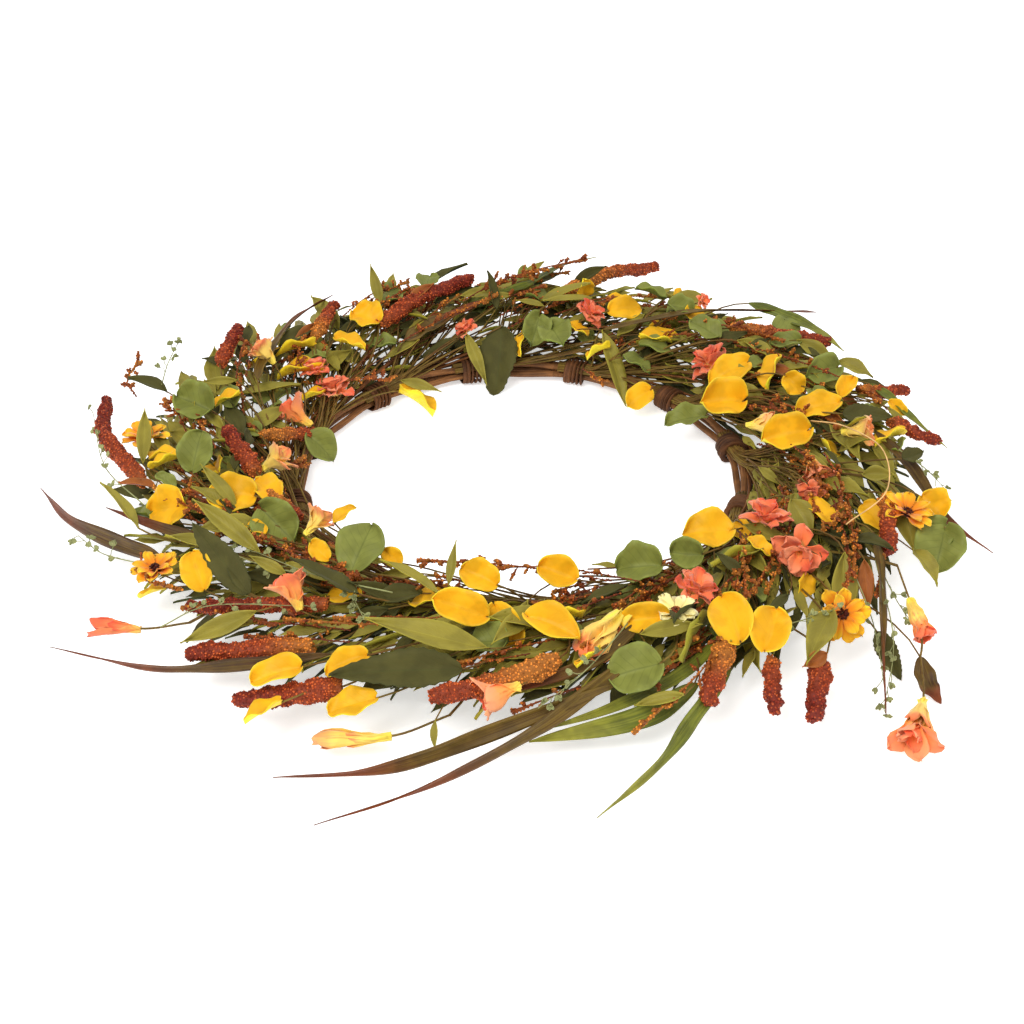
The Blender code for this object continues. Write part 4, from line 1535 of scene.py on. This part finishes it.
BROWN_BLADES = {
    1: ((7, 60, ((22, 144, 2), (31, 154, 3), (41, 182, 2), (49, 234, 2), (49, 268, 4))),),
    3: ((8, 70, ((92, 210, 0), (99, 230, -3), (107, 252, -6), (109, 281, -3))),),
    4: ((8, 80, ((120, 222, 0), (126, 237, -2), (135, 264, -6), (140, 287, -9))),
        (12, 20, ((131, 276, -9), (133, 287, -9), (134, 299, -6)))),
    6: ((9, 120, ((164, 222, 0), (172, 238, -5), (180, 258, -7), (190, 284, -7), (198, 313, -2))),
        (9, 100, ((168, 236, -4), (184, 258, -6), (194, 277, -7), (204, 293, -4))),
        (7, 60, ((160, 200, 0), (172, 222, -6), (188, 240, -9)))),
    7: ((8, 90, ((204, 232, -2), (214, 250, -5), (224, 272, -6), (237, 298, -3))),
        (7, 60, ((226, 206, 3), (234, 213, 3), (242, 226, 3), (251, 245, 3)))),
    8: ((10, 50, ((238, 230, -5), (243, 240, -5), (255, 264, -5), (266, 286, -2))),),
    9: ((9, 70, ((286, 168, 3), (293, 174, 3), (310, 191, 4), (322, 203, 4))),),
    11: ((13, 40, ((328, 142, 2), (337, 148, 2), (354, 162, 4))),),
}
GREEN_BLADES = {
    1: ((10, 30, ((44, 220, 2), (50, 224, 2), (58, 227, 3), (66, 226, 3))),),
    2: ((7, 60, ((77, 222, 2), (81, 229, 2), (87, 238, 2), (92, 254, 2))),),
    5: ((9, 70, ((154, 240, -6), (160, 254, -8), (166, 274, -8), (173, 296, -4))),
        (12, 30, ((158, 238, -12), (166, 246, -16), (179, 250, -20))),
        (7, 60, ((150, 214, -10), (158, 226, -15), (168, 237, -16), (177, 250, -12)))),
    11: ((8, 50, ((355, 168, 2), (2, 178, 2), (8, 216, 2), (12, 264, 4))),),
}


class Ferns:
    """Pale fern sprigs: a thin main stem with short side twigs that end in clusters of leaflets."""

    POINTS = 16
    CUT = Cut(Outline.ROUND, 6, 5, cup=0.2, thickness=0.3 * MM)

    def __init__(self, seed: int) -> None:
        """Start with no sprigs.

        Args:
            seed: Start of the random draws.
        """
        self.chance = np.random.default_rng(seed)
        self.stalks = Shape()
        self.leaflets: list[tuple[Vector, Vector]] = []

    def add(self, stations: Stations, twigs: int = 7, reach: float = 5.5 * MM, leaflets: int = 5,
            radius: float = 0.4 * MM) -> None:
        """Add a sprig.

        Args:
            stations: Its main stem, base to tip.
            twigs: How many side twigs it has.
            reach: Length of a side twig in metres.
            leaflets: Leaflets on each twig.
            radius: Radius of the main stem.
        """
        last = self.POINTS - 1
        path = route(stations, self.POINTS)
        self.stalks.add_tube(path, tapered(radius, radius * 0.5, self.POINTS), 5, self.chance.uniform())
        for number in range(twigs):
            place = int(round((0.25 + 0.75 * number / (twigs - 1)) * last))
            start = path[place]
            way = (path[min(place + 1, last)] - path[place - 1]).normalized()
            way = (strayed(way, self.chance, 0.55) + LEAN * 0.25).normalized()
            end = start + way * reach * self.chance.uniform(0.6, 1.2)
            middle = strayed((start + end) / 2, self.chance, 0.4 * MM)
            self.stalks.add_tube([start, middle, end], radius * 0.6, 4, self.chance.uniform())
            for _ in range(leaflets):
                self.leaflets.append((end, strayed(way, self.chance, 0.55).normalized()))

    def build(self, material: bpy.types.Material) -> None:
        """Make the stalks and the leaflets, each as one piece.

        Args:
            material: Their finish.
        """
        settle(self.stalks.make("fern_stalks", material))
        shape = Shape()
        for spot, way in self.leaflets:
            facing = (LEAN - way * way.dot(LEAN)).normalized()
            length = self.chance.uniform(2.6, 4.0) * MM
            self.CUT.add(shape, spot, way, facing, length, 2.0 * MM, self.chance)
        settle(shape.make("fern_leaflets", material))


class Plumes:
    """Sprigs of seed: a stem with short side twigs, all coated with grains and thickest at their ends."""

    POINTS = 14
    VALUES = {"Grain": 0.66 * MM, "Gap": 1.25 * MM, "Lumps": 0.0}

    def __init__(self, seed: int) -> None:
        """Start with no sprigs.

        Args:
            seed: Start of the random draws.
        """
        self.chance = np.random.default_rng(seed)
        self.paths: list[list[Vector]] = []
        self.radii: list[list[float]] = []

    def add(self, stations: Stations, twigs: int, reach: float = 6.5 * MM) -> None:
        """Add a sprig.

        Args:
            stations: Its stem, base to tip.
            twigs: How many side twigs it has.
            reach: Length of a side twig in metres.
        """
        last = self.POINTS - 1
        path = route(stations, self.POINTS)
        self.paths.append(path)
        self.radii.append([0.35 * MM + 0.9 * MM * share ** 6 for share in np.linspace(0, 1, self.POINTS)])
        for number in range(twigs):
            place = int(round((0.2 + 0.75 * number / (twigs - 1)) * last))
            way = (path[min(place + 1, last)] - path[place - 1]).normalized()
            way = (strayed(way, self.chance, 0.6) + LEAN * 0.3).normalized()
            long = reach * self.chance.uniform(0.4, 1.25)
            fat = self.chance.uniform(0.7, 1.5) * MM
            bow = Vector(self.chance.normal(0, 0.15, 3)) * long
            self.paths.append([path[place] + way * long * share + bow * share * share
                               for share in (0, 0.3, 0.6, 1)])
            self.radii.append([0.3 * MM, 0.4 * MM, fat, fat * 0.6])

    def build(self, name: str, tree: Tree, material: bpy.types.Material) -> None:
        """Make all the sprigs as one piece."""
        line = curve_object(name, self.paths, self.radii)
        settle(tree.apply(line, self.VALUES | {"Coat": material}))


# ---------------------------------------------------------------- blossoms


@dataclass(frozen=True)
class Whorl:
    """A ring of petals: how many, their length and width as shares of the bloom, and their lean."""

    petals: int
    length: float
    width: float
    lean: float
    start: float = 0.0


class BloomKind(Enum):
    """The kinds of blossom, each a set of whorls from the outside in."""

    RUFFLED = (Whorl(5, 0.62, 0.5, 66), Whorl(5, 0.6, 0.46, 42, 0.06), Whorl(4, 0.56, 0.42, 20, 0.12))
    TRUMPET = (Whorl(5, 1.0, 0.6, 15), Whorl(3, 0.82, 0.46, 5, 0.06))
    BUD = (Whorl(3, 1.0, 0.72, 4), Whorl(3, 0.88, 0.6, 1, 0.05))
    SHEATH = (Whorl(3, 0.62, 0.62, 5),)
    OPEN = (Whorl(8, 0.62, 0.36, 72), Whorl(7, 0.55, 0.3, 58, 0.04))
    SKIRT = (Whorl(5, 0.6, 0.62, 12, 0.4), Whorl(3, 0.56, 0.5, 3, 0.42))
    CROWN = (Whorl(6, 0.66, 0.6, 9), Whorl(3, 0.5, 0.4, 3))


PETAL_CUT = Cut(Outline.PETAL, 11, 9, cup=0.12, droop=0.42, wave=0.11, fold=2, crease=0.05, fray=0.03,
                thickness=0.25 * MM)
STRAIGHT_PETAL = Cut(Outline.PETAL, 11, 7, cup=0.2, droop=0.04, wave=0.08, fold=2, crease=0.04, fray=0.02,
                     thickness=0.25 * MM)
PLAIN_PETAL = Cut(Outline.PETAL, 8, 5, cup=0.16, droop=0.2, wave=0.07, fold=3, crease=0.03, fray=0.04,
                  thickness=0.25 * MM)


def add_bloom(shape: Shape, kind: BloomKind, cut: Cut, base: Vector, axis: Vector, size: float, width: float,
              chance: np.random.Generator) -> None:
    """Add a blossom's petals to a shape.

    Args:
        shape: The mesh that takes the petals.
        kind: Which whorls it has.
        cut: How its petals are cut.
        base: Foot of the blossom.
        axis: Unit direction from its foot to its mouth.
        size: Length of the blossom, which the whorls' lengths are shares of.
        width: What the petals' widths are shares of.
        chance: Source of small differences.
    """
    side = axis.orthogonal().normalized()
    for number, whorl in enumerate(kind.value):
        for petal in range(whorl.petals):
            turn = 360 * (petal + 0.5 * (number % 2)) / whorl.petals + chance.normal(0, 7)
            radial = turned_about(side, axis, turn)
            lean = math.radians(whorl.lean + chance.normal(0, 5))
            way = axis * math.cos(lean) + radial * math.sin(lean)
            facing = axis * math.sin(lean) - radial * math.cos(lean)
            foot = base + axis * (whorl.start * size) + radial * 0.6 * MM
            cut.add(shape, foot, way, facing, whorl.length * size * chance.uniform(0.88, 1.1),
                    whorl.width * width * chance.uniform(0.9, 1.12), chance)


class Hearts:
    """The grainy domes in the middle of open flowers."""

    GRAINS = 46
    GOLDEN_ANGLE = 137.5

    def __init__(self) -> None:
        """Start with none."""
        self.spots: list[Vector] = []

    def add(self, foot: Vector, axis: Vector, radius: float, chance: np.random.Generator) -> None:
        """Add a dome of grains, evenly spread.

        Args:
            foot: The middle of its foot.
            axis: The unit direction that it faces.
            radius: Its radius in metres.
            chance: Source of small differences.
        """
        side = axis.orthogonal().normalized()
        for number in range(self.GRAINS):
            rise = (number + 0.5) / self.GRAINS
            out = radius * math.sqrt(1 - rise * rise * 0.9)
            turned = turned_about(side, axis, self.GOLDEN_ANGLE * number)
            self.spots.append(strayed(foot + turned * out + axis * rise * radius * 0.9, chance, 0.12 * MM))

    def build(self, name: str, tree: Tree, material: bpy.types.Material) -> None:
        """Make all the hearts as one piece.

        Args:
            name: The piece's name.
            tree: The tree of the grains.
            material: Their finish.
        """
        mesh = bpy.data.meshes.new(name)
        mesh.from_pydata([tuple(spot) for spot in self.spots], [], [])
        piece = tree.apply(new_object(name, mesh), {"Grain": 0.75 * MM, "Seed": 3, "Coat": material})
        settle(piece)


@dataclass(frozen=True)
class Blossoms:
    """Blossoms of one kind and dye, planted by binding."""

    name: str
    finish: str
    kind: BloomKind
    cut: Cut
    planting: Planting
    slot: str = "coral"
    pick: str = ""
    upright: float = 0.9       # how far the axis turns from its heading to the way the leaves face
    heart: float = 0.0         # radius of the dark heart in metres, or none
    seed: int = 2

    def build(self, materials: Materials, stems: Stems, hearts: Hearts) -> None:
        """Make one piece of the blossoms at each binding, and their stems and hearts.

        Args:
            materials: All finishes.
            stems: What takes the stems.
            hearts: What takes the hearts.
        """
        chance = np.random.default_rng(self.seed)
        for binding, entries in sorted(self.planting.items()):
            shape = Shape()
            for entry in entries:
                head = Head(*entry)
                way = RING.heading(head.clock, head.heading, LEAN)
                axis = strayed(way + LEAN * self.upright, chance, 0.1).normalized()
                foot = head.base() + way * head.length * MM * 0.25 - axis * head.length * MM * 0.25
                size = max(head.length, head.width) * MM
                add_bloom(shape, self.kind, self.cut, foot, axis, size, size, chance)
                stems.run(binding, foot, axis, 0.7 * MM)
                if self.heart:
                    hearts.add(foot + axis * 1.2 * MM, axis, self.heart, chance)
            piece = shape.make(f"{self.name}_{binding:02d}", materials[self.finish])
            settle(piece, pick_node(self.pick, binding))


RUFFLED_PLANTING: Planting = {
    1: ((38, 194, 17, 10, 10), (58, 145, 172, 24, 27)),
    3: ((116, 181, 15, 12, 13),),
    4: ((131, 176, -137, 20, 24), (131, 199, 31, 22, 26)),
    5: ((154, 198, -151, 22, 23),),
    9: ((298, 132, 48, 21, 22),),
    10: ((299, 146, 48, 17, 18),),
    11: ((346, 140, 126, 14, 13),),
    12: ((17, 150, 56, 17, 20),),
}
TRUMPET_PLANTING: Planting = {
    3: ((105, 173, 27, 20, 17),),
    6: ((180, 239, 28, 25, 18),),
    7: ((211, 218, -49, 24, 18),),
    9: ((281, 131, 58, 25, 17),),
}
BUD_PLANTING: Planting = {5: ((165, 199, 37, 30, 12),)}
PEACH_PLANTING: Planting = {
    2: ((83, 138, 85, 20, 16),),
    3: ((95, 189, 92, 21, 14),),
    7: ((223, 169, -93, 18, 15),),
    8: ((251, 156, -74, 20, 17),),
    9: ((294, 168, 77, 20, 14),),
}
CREAM_PLANTING: Planting = {5: ((158, 209, -120, 15, 20),)}
DAISY_PLANTING: Planting = {
    3: ((114, 233, -172, 19, 25),),
    4: ((136, 241, 45, 25, 20),),
    7: ((233, 241, -23, 16, 22),),
    8: ((265, 221, 4, 24, 20),),
}


@dataclass(frozen=True)
class WiredBlossom:
    """A blossom on its own wire that swings or bends on its own body."""

    body: str
    joint: Station
    base: Station
    mouth: Station
    width: float
    finish: str = "coral"
    link: Station | None = None        # where the next blossom hangs from it
    crown: bool = True
    seed: int = 8
    wire: float = 0.6 * MM

    def build(self, materials: Materials) -> None:
        """Make the wire, the petals at its foot and the skirt at its mouth.

        Args:
            materials: All finishes.
        """
        chance = np.random.default_rng(self.seed)
        joint, base, mouth = (RING.station(*station) for station in (self.joint, self.base, self.mouth))
        axis = (mouth - base).normalized()
        size = (mouth - base).length * 1.12
        wire, skirt, crown = Shape(), Shape(), Shape()
        wire.add_tube(bent(joint, base - joint, base.lerp(mouth, 0.2), axis, 10), self.wire)
        if self.link:
            end = RING.station(*self.link)
            wire.add_tube(bent(base, mouth - base, end, end - mouth, 12), self.wire)
        outer, cut, inner, top = ((BloomKind.SKIRT, PETAL_CUT, BloomKind.CROWN, "peach") if self.crown
                                  else (BloomKind.BUD, STRAIGHT_PETAL, BloomKind.SHEATH, self.finish))
        add_bloom(skirt, outer, cut, base, axis, size, self.width * MM * 1.15, chance)
        add_bloom(crown, inner, STRAIGHT_PETAL, base, axis, size, self.width * MM * 0.95, chance)
        settle(wire.make(f"{self.body}_wire", materials["stem"]), (), self.body)
        settle(skirt.make(f"{self.body}_skirt", materials[self.finish]), (self.body,), self.body)
        settle(crown.make(f"{self.body}_crown", materials[top]), (), self.body)


HIGH_JOINT, LOW_JOINT, FRONT_JOINT, LEFT_JOINT = (124, 243, 2), (133, 281, 3), (188, 246, -10), (224, 246, -4)
WIRED_BLOSSOMS = (
    WiredBlossom("pendant_high", HIGH_JOINT, (127, 257, 0), (130, 275, 0), 18, link=LOW_JOINT, seed=8),
    WiredBlossom("pendant_low", LOW_JOINT, (137, 298, 7), (143, 315, 9), 19, seed=9),
    WiredBlossom("petals_front", FRONT_JOINT, (194, 258, -13), (201, 267, -12), 12, "peach", crown=False,
                 seed=10),
    WiredBlossom("petals_left", LEFT_JOINT, (229, 262, -5), (234, 277, -1), 13, "rose", crown=False,
                 seed=11),
)


@dataclass(frozen=True)
class Holder:
    """A fixed wire that leads from a binding to a moving blossom's joint."""

    node: str
    binding: int
    joint: Station
    radius: float = 0.8 * MM
    spread: float = 5.6 * MM

    def build(self, material: bpy.types.Material) -> None:
        """Make the wire.

        Args:
            material: Its finish.
        """
        held = RING.held(self.binding, math.pi / 2, self.spread)
        end = RING.station(*self.joint)
        way = (end - held[-1]).normalized()
        shape = Shape()
        shape.add_tube(held[:2] + bent(held[-1], held[-1] - held[-2], end, way, 14), self.radius, 6, 0.4)
        settle(shape.make(f"{self.node}_wire", material), (self.node,))


HOLDERS = (Holder("pendant_stem", 4, HIGH_JOINT), Holder("petals_front_stem", 6, FRONT_JOINT),
           Holder("petals_left_stem", 8, LEFT_JOINT))


# ---------------------------------------------------------------- seed and fern sprigs, peach wire

SEED_SPRIGS: tuple[tuple[Stations, int], ...] = (
    (((164, 172, 2), (182, 143, 8), (202, 147, 4)), 9),
    (((160, 180, 4), (172, 150, 6), (188, 142, 6)), 6),
    (((224, 188, 3), (215, 186, 4), (207, 183, 3)), 6),
    (((238, 240, 3), (234, 247, 2), (229, 240, 2)), 5),
    (((280, 240, 3), (286, 258, 5), (291, 262, 8)), 5),
    (((270, 190, 4), (272, 208, 5), (276, 216, 5)), 7),
    (((150, 200, 4), (156, 235, 0), (168, 262, -4)), 8),
    (((258, 140, 3), (262, 128, 4)), 4),
    (((100, 160, 4), (108, 175, 4), (118, 188, 5)), 9),
    (((104, 180, 4), (114, 196, 5), (124, 205, 5)), 9),
    (((112, 190, 3), (122, 212, 3), (130, 230, 2)), 9),
    (((118, 196, 4), (128, 222, 3), (136, 240, 2)), 9),
    (((136, 170, 4), (142, 190, 5), (147, 212, 4)), 8),
    (((140, 180, 3), (147, 205, 3), (152, 232, 1)), 8),
    (((326, 140, 5), (340, 146, 8), (354, 158, 8)), 8),
    (((346, 158, 6), (356, 172, 9), (4, 182, 10)), 8),
    (((352, 170, 6), (4, 190, 8), (12, 215, 8)), 7),
    (((298, 138, 4), (308, 130, 6), (317, 122, 8)), 5),
    (((40, 160, 6), (52, 176, 6), (62, 190, 6)), 6),
    (((66, 180, 4), (76, 200, 5), (84, 220, 4)), 6),
    (((20, 120, 5), (28, 116, 6)), 3),
    (((190, 200, 4), (200, 214, 4), (212, 226, 3)), 5),
    (((230, 190, 4), (240, 204, 5), (250, 218, 5)), 6),
)
FERN_SPRIGS: tuple[Stations, ...] = (
    ((248, 226, 2), (260, 243, 6), (276, 262, 8)),
    ((236, 242, 2), (242, 256, 4), (247, 264, 8)),
    ((226, 258, 0), (222, 238, 4), (211, 216, 4)),
    ((206, 190, 4), (205, 200, 4), (202, 211, 4)),
    ((128, 222, 0), (133, 252, -7), (138, 279, -13)),
    ((152, 229, 2), (144, 236, 3), (137, 241, 3)),
    ((124, 233, -5), (126, 248, -11), (127, 262, -14)),
    ((125, 232, 0), (132, 262, -9), (139, 282, -14)),
    ((165, 208, 3), (172, 232, 2), (178, 250, 1)),
    ((282, 226, 4), (288, 232, 8), (294, 238, 12)),
    ((98, 222, 4), (101, 238, 4), (104, 250, 4)),
    ((214, 196, 4), (222, 206, 6), (232, 212, 6)),
    ((200, 190, 4), (212, 196, 6), (224, 200, 6)),
)
PEACH_WIRE: Stations = ((92, 172, 4), (98, 190, 12), (103, 212, 12), (113, 220, 10), (123, 210, 5))


def build_sprigs(materials: Materials, grains: Tree) -> None:
    """The seed sprigs, the pale fern sprigs and the peach-coloured wire.

    Args:
        materials: All finishes.
        grains: The tree of the grains.
    """
    seeds = Plumes(21)
    for stations, pairs in SEED_SPRIGS:
        seeds.add(stations, pairs * 2)
    seeds.build("seed_plumes", grains, materials["seed"])
    ferns = Ferns(22)
    for stations in FERN_SPRIGS:
        ferns.add(stations)
    ferns.build(materials["fern"])
    wire = Shape()
    wire.add_tube(route(PEACH_WIRE, 30), 0.4 * MM, 6, 0.4)
    settle(wire.make("peach_wire", materials["wire"]))


@dataclass(frozen=True)
class Underbrush:
    """Small low leaves of one finish that fill the bed between the ring and the heads."""

    finish: str
    sink: float                # how far the leaves' feet lie below the top of the bed
    seed: int
    inner: float = 140 * MM
    outer: float = 218 * MM
    lowest: float = 6 * MM
    gap: float = 7 * MM
    length: float = 26 * MM
    width: float = 8 * MM
    rings: int = 10
    spokes: int = 96

    def bed_mesh(self) -> bpy.types.Object:
        """The surface that the leaves stand on, with the way they point.

        Returns:
            An object with the name of the piece.
        """
        points, ways = [], []
        for radius in np.linspace(self.inner, self.outer, self.rings):
            for spoke in range(self.spokes):
                clock = 360 * spoke / self.spokes
                height = max(RING.bed(radius) - self.sink, self.lowest)
                points.append(tuple(RING.point(clock, radius, height)))
                ways.append((RING.clockwise(clock) + RING.outward(clock) * 0.55).normalized())
        faces = []
        for a in range(0, (self.rings - 1) * self.spokes, self.spokes):
            b = a + self.spokes
            for spoke in range(self.spokes):
                after = (spoke + 1) % self.spokes
                faces.append((a + spoke, b + spoke, b + after, a + after))
        mesh = bpy.data.meshes.new("brush_bed")
        mesh.from_pydata(points, [], faces)
        mesh.attributes.new("way", "FLOAT_VECTOR", "POINT").data.foreach_set(
            "vector", np.array(ways, np.float32).ravel())
        return new_object(f"brush_{self.finish}", mesh)

    def build(self, materials: Materials) -> None:
        """Make the leaves as one piece.

        Args:
            materials: All finishes.
        """
        shape = Shape()
        cut = Cut(Outline.LONG, 6, 3, cup=0.1, droop=0.2)
        cut.add(shape, Vector(), Vector((0, 1, 0)), Vector((0, 0, 1)), self.length, self.width,
                np.random.default_rng(1))
        leaf = shape.make("brush_leaf", materials["sage"])
        tree = brush_tree(materials[self.finish])
        piece = tree.apply(self.bed_mesh(), {"Gap": self.gap, "Seed": self.seed, "Leaf": leaf})
        bpy.data.objects.remove(leaf)
        settle(piece)


@dataclass(frozen=True)
class Fillers:
    """Thin sprigs between the heads: each leaves a binding and ends in a small leaf or in seed."""

    each: int = 32
    more_at_right: int = 14
    inner: float = 138         # where they end, in mm from the middle of the ring
    crest: float = 176
    outer: float = 234
    outer_front: float = 26    # how much further they reach at the bottom of the wreath
    seed: int = 31

    SHARES = {"sage": 0.27, "dark": 0.2, "green": 0.14, "gold": 0.07, "rust": 0.04, "seed": 0.28}

    def build(self, materials: Materials, stems: Stems, grains: Tree) -> None:
        """Make the small leaves and seeds of all fillers, and their stems.

        Args:
            materials: All finishes.
            stems: What takes the stems.
            grains: The tree of the grains.
        """
        chance = np.random.default_rng(self.seed)
        shapes = {kind: Shape() for kind in self.SHARES if kind != "seed"}
        seeds = [Plumes(self.seed + 1 + quarter) for quarter in range(4)]
        for binding in range(1, RING.bindings + 1):
            middle = RING.binding_clock(binding)
            right = max(0.0, math.sin(math.radians(middle + 20)))
            for _ in range(self.each + round(self.more_at_right * right)):
                clock = middle + chance.uniform(12, 48)
                outer = self.outer - self.outer_front * math.cos(math.radians(clock))
                radius = chance.triangular(self.inner, self.crest, outer)
                head = Head(clock, radius, chance.normal(28, 28), chance.uniform(16, 38), 0,
                            chance.uniform(-16, 0))
                facing = strayed(Vector((0, -0.3, 1)), chance, 0.4).normalized()
                way = RING.heading(clock, head.heading, facing)
                stems.run(binding, head.base(), way, 0.7 * MM)
                kind = str(chance.choice(list(self.SHARES), p=list(self.SHARES.values())))
                if kind == "seed":
                    seeds[int(clock % 360 // 90)].add(
                        ((clock - 7, radius - 9, head.lift), (clock, radius, head.lift + 2),
                         (clock + 6, radius + 10, head.lift + 2)), 7)
                    continue
                cut, share, size = ((FILL_ROUND, 0.75, 0.6) if kind in ("green", "gold")
                                    else (FILL_LONG, 0.32, 1.0))
                length = head.length * size * MM
                cut.add(shapes[kind], head.base(), way, facing, length,
                        length * share * chance.uniform(0.75, 1.3), chance)
        for kind, shape in shapes.items():
            settle(shape.make(f"filler_{kind}", materials[kind]))
        for quarter, plumes in enumerate(seeds, 1):
            plumes.build(f"filler_seeds_{quarter}", grains, materials["seed"])


# ---------------------------------------------------------------- studio


@dataclass(frozen=True)
class Lamp:
    """A soft square light that faces the wreath."""

    name: str
    place: tuple[float, float, float]
    size: float
    power: float

    def build(self) -> None:
        """Add the light."""
        data = bpy.data.lights.new(self.name, "AREA")
        data.size = self.size
        data.energy = self.power
        made = new_object(self.name, data)
        made.location = self.place
        towards = Vector((RING.x, RING.y, 0)) - made.location
        made.rotation_euler = towards.to_track_quat("-Z", "Y").to_euler()


@dataclass(frozen=True)
class Studio:
    """The floor, the lights, the world and the camera."""

    elevation: float = 32.4
    distance: float = 1.1
    lens: float = 63.8
    shift: tuple[float, float] = (-0.0078, -0.0342)
    floor_size: float = 60
    floor_drop: float = 0.2 * MM
    floor_glow: float = 0.54
    sky: float = 0.52          # how strongly the white world lights the wreath; it is seen at 1
    lamps: tuple[Lamp, ...] = (
        Lamp("key", (-0.6, -1.2, 1.7), 0.9, 30),
        Lamp("fill", (1.4, -0.4, 1.2), 1.4, 8),
        Lamp("back", (0.1, 1.5, 1.5), 1.4, 8),
    )

    def build(self) -> None:
        """Make the studio."""
        self.add_floor()
        self.add_world()
        for lamp in self.lamps:
            lamp.build()
        self.add_camera()

    def add_floor(self) -> None:
        """Make a white paper floor that glows a little."""
        bpy.ops.mesh.primitive_plane_add(size=self.floor_size, location=(0, 0, -self.floor_drop))
        floor = bpy.context.active_object
        floor.name = "floor"
        paper, graph, shader = start_material("floor_paper", {
            "Roughness": 0.9, "Specular IOR Level": 0.1, "Emission Color": (1, 1, 1, 1),
            "Emission Strength": self.floor_glow})
        grain = graph.times(graph.noise(graph.place(), 300.0, 3.0), 0.1)
        graph.join(graph.mix(grain, (0.9, 0.9, 0.9, 1), (0.86, 0.86, 0.86, 1)), shader, "Base Color")
        floor.data.materials.append(paper)

    def add_world(self) -> None:
        """Make a white world, dimmer as a light than as it is seen."""
        world = bpy.data.worlds.new("studio")
        world.use_nodes = True
        shader = world.node_tree.nodes["Background"]
        shader.inputs["Color"].default_value = (1, 1, 1, 1)
        graph = Graph(world.node_tree)
        seen = graph.node("ShaderNodeLightPath").outputs["Is Camera Ray"]
        strength = graph.node("ShaderNodeMath", {0: seen, 1: 1 - self.sky, 2: self.sky},
                              operation="MULTIPLY_ADD")
        graph.join(strength.outputs[0], shader, "Strength")
        bpy.context.scene.world = world
        bpy.context.scene.view_settings.view_transform = "Standard"

    def add_camera(self) -> None:
        """Make the camera, in front of the wreath and above it."""
        angle = math.radians(self.elevation)
        camera = new_object("camera", bpy.data.cameras.new("camera"))
        away = Vector((0, -math.cos(angle), math.sin(angle))) * self.distance
        camera.location = Vector((RING.x, RING.y, RING.height)) + away
        camera.rotation_euler = (math.pi / 2 - angle, 0, 0)
        camera.data.lens = self.lens
        camera.data.shift_x, camera.data.shift_y = self.shift
        camera.data.clip_start = 0.05
        bpy.context.scene.camera = camera


LEAVES = (
    Leafage("gold", "gold", ROUND_CUT, GOLD_PLANTING, seed=1),
    Leafage("green", "green", ROUND_CUT, GREEN_PLANTING, seed=2),
    Leafage("sage", "sage", LONG_CUT, SAGE_PLANTING, 0.3, seed=3),
    Leafage("dark", "dark", TOOTHED_CUT, DARK_PLANTING, 0.4, seed=4),
    Leafage("rust", "gold", LONG_CUT, RUST_PLANTING, 0.4, seed=5),
)
BLADES = (Blades("brown_blades", "blade", BROWN_BLADES), Blades("green_blades", "reed", GREEN_BLADES, seed=6))
BLOSSOMS = (
    Blossoms("ruffled_blossoms", "rose", BloomKind.RUFFLED, PETAL_CUT, RUFFLED_PLANTING,
             pick="coral", seed=1),
    Blossoms("trumpet_blossoms", "coral", BloomKind.TRUMPET, PETAL_CUT, TRUMPET_PLANTING,
             upright=0.2, seed=2),
    Blossoms("bud_blossoms", "peach", BloomKind.BUD, STRAIGHT_PETAL, BUD_PLANTING, upright=0.1, seed=7),
    Blossoms("peach_blossoms", "peach", BloomKind.TRUMPET, PETAL_CUT, PEACH_PLANTING,
             upright=0.3, seed=3),
)
CREAM_FLOWERS = Blossoms("cream_flowers", "cream", BloomKind.OPEN, PLAIN_PETAL, CREAM_PLANTING, "daisy",
                         upright=1.5, heart=2.6 * MM, seed=4)
YELLOW_FLOWERS = Blossoms("yellow_flowers", "yellow", BloomKind.OPEN, PLAIN_PETAL, DAISY_PLANTING, "daisy",
                          "daisy", upright=1.2, heart=3.4 * MM, seed=5)
UNDERBRUSH = (Underbrush("sage", 15 * MM, 5), Underbrush("dark", 24 * MM, 6))


def main() -> None:
    """Build the studio and every piece of the wreath."""
    logging.basicConfig(level=logging.INFO, format="%(message)s")
    Studio().build()
    materials = {name: finish.material() for name, finish in FINISHES.items()}
    grains, berries = grain_tree(materials["grain"]), berry_tree(materials["heart"])
    stems, hearts, pale_hearts = Stems(), Hearts(), Hearts()
    VineRing().build(bark_tree(materials["bark"]))
    Bindings().build(wrap_tree(materials["wrap"]))
    Twigs().build(materials["twig"])
    for leafage in LEAVES:
        leafage.build(materials, stems)
    Spikes(SPIKE_PLANTING).build(grains, stems)
    for blades in BLADES:
        blades.build(materials, stems)
    for blossoms in BLOSSOMS:
        blossoms.build(materials, stems, hearts)
    CREAM_FLOWERS.build(materials, stems, pale_hearts)
    YELLOW_FLOWERS.build(materials, stems, hearts)
    hearts.build("flower_hearts", berries, materials["heart"])
    pale_hearts.build("pale_hearts", berries, materials["seed"])
    for blossom in WIRED_BLOSSOMS:
        blossom.build(materials)
    for holder in HOLDERS:
        holder.build(materials["stem"])
    build_sprigs(materials, grains)
    for brush in UNDERBRUSH:
        brush.build(materials)
    Fillers().build(materials, stems, grains)
    stems.build(materials["stem"])
    left = sorted(name for name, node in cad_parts.items() if not node.hide_render)
    LOG.info("packed nodes still shown: %s", ", ".join(left) or "none")


if __name__ == "__main__":
    main()
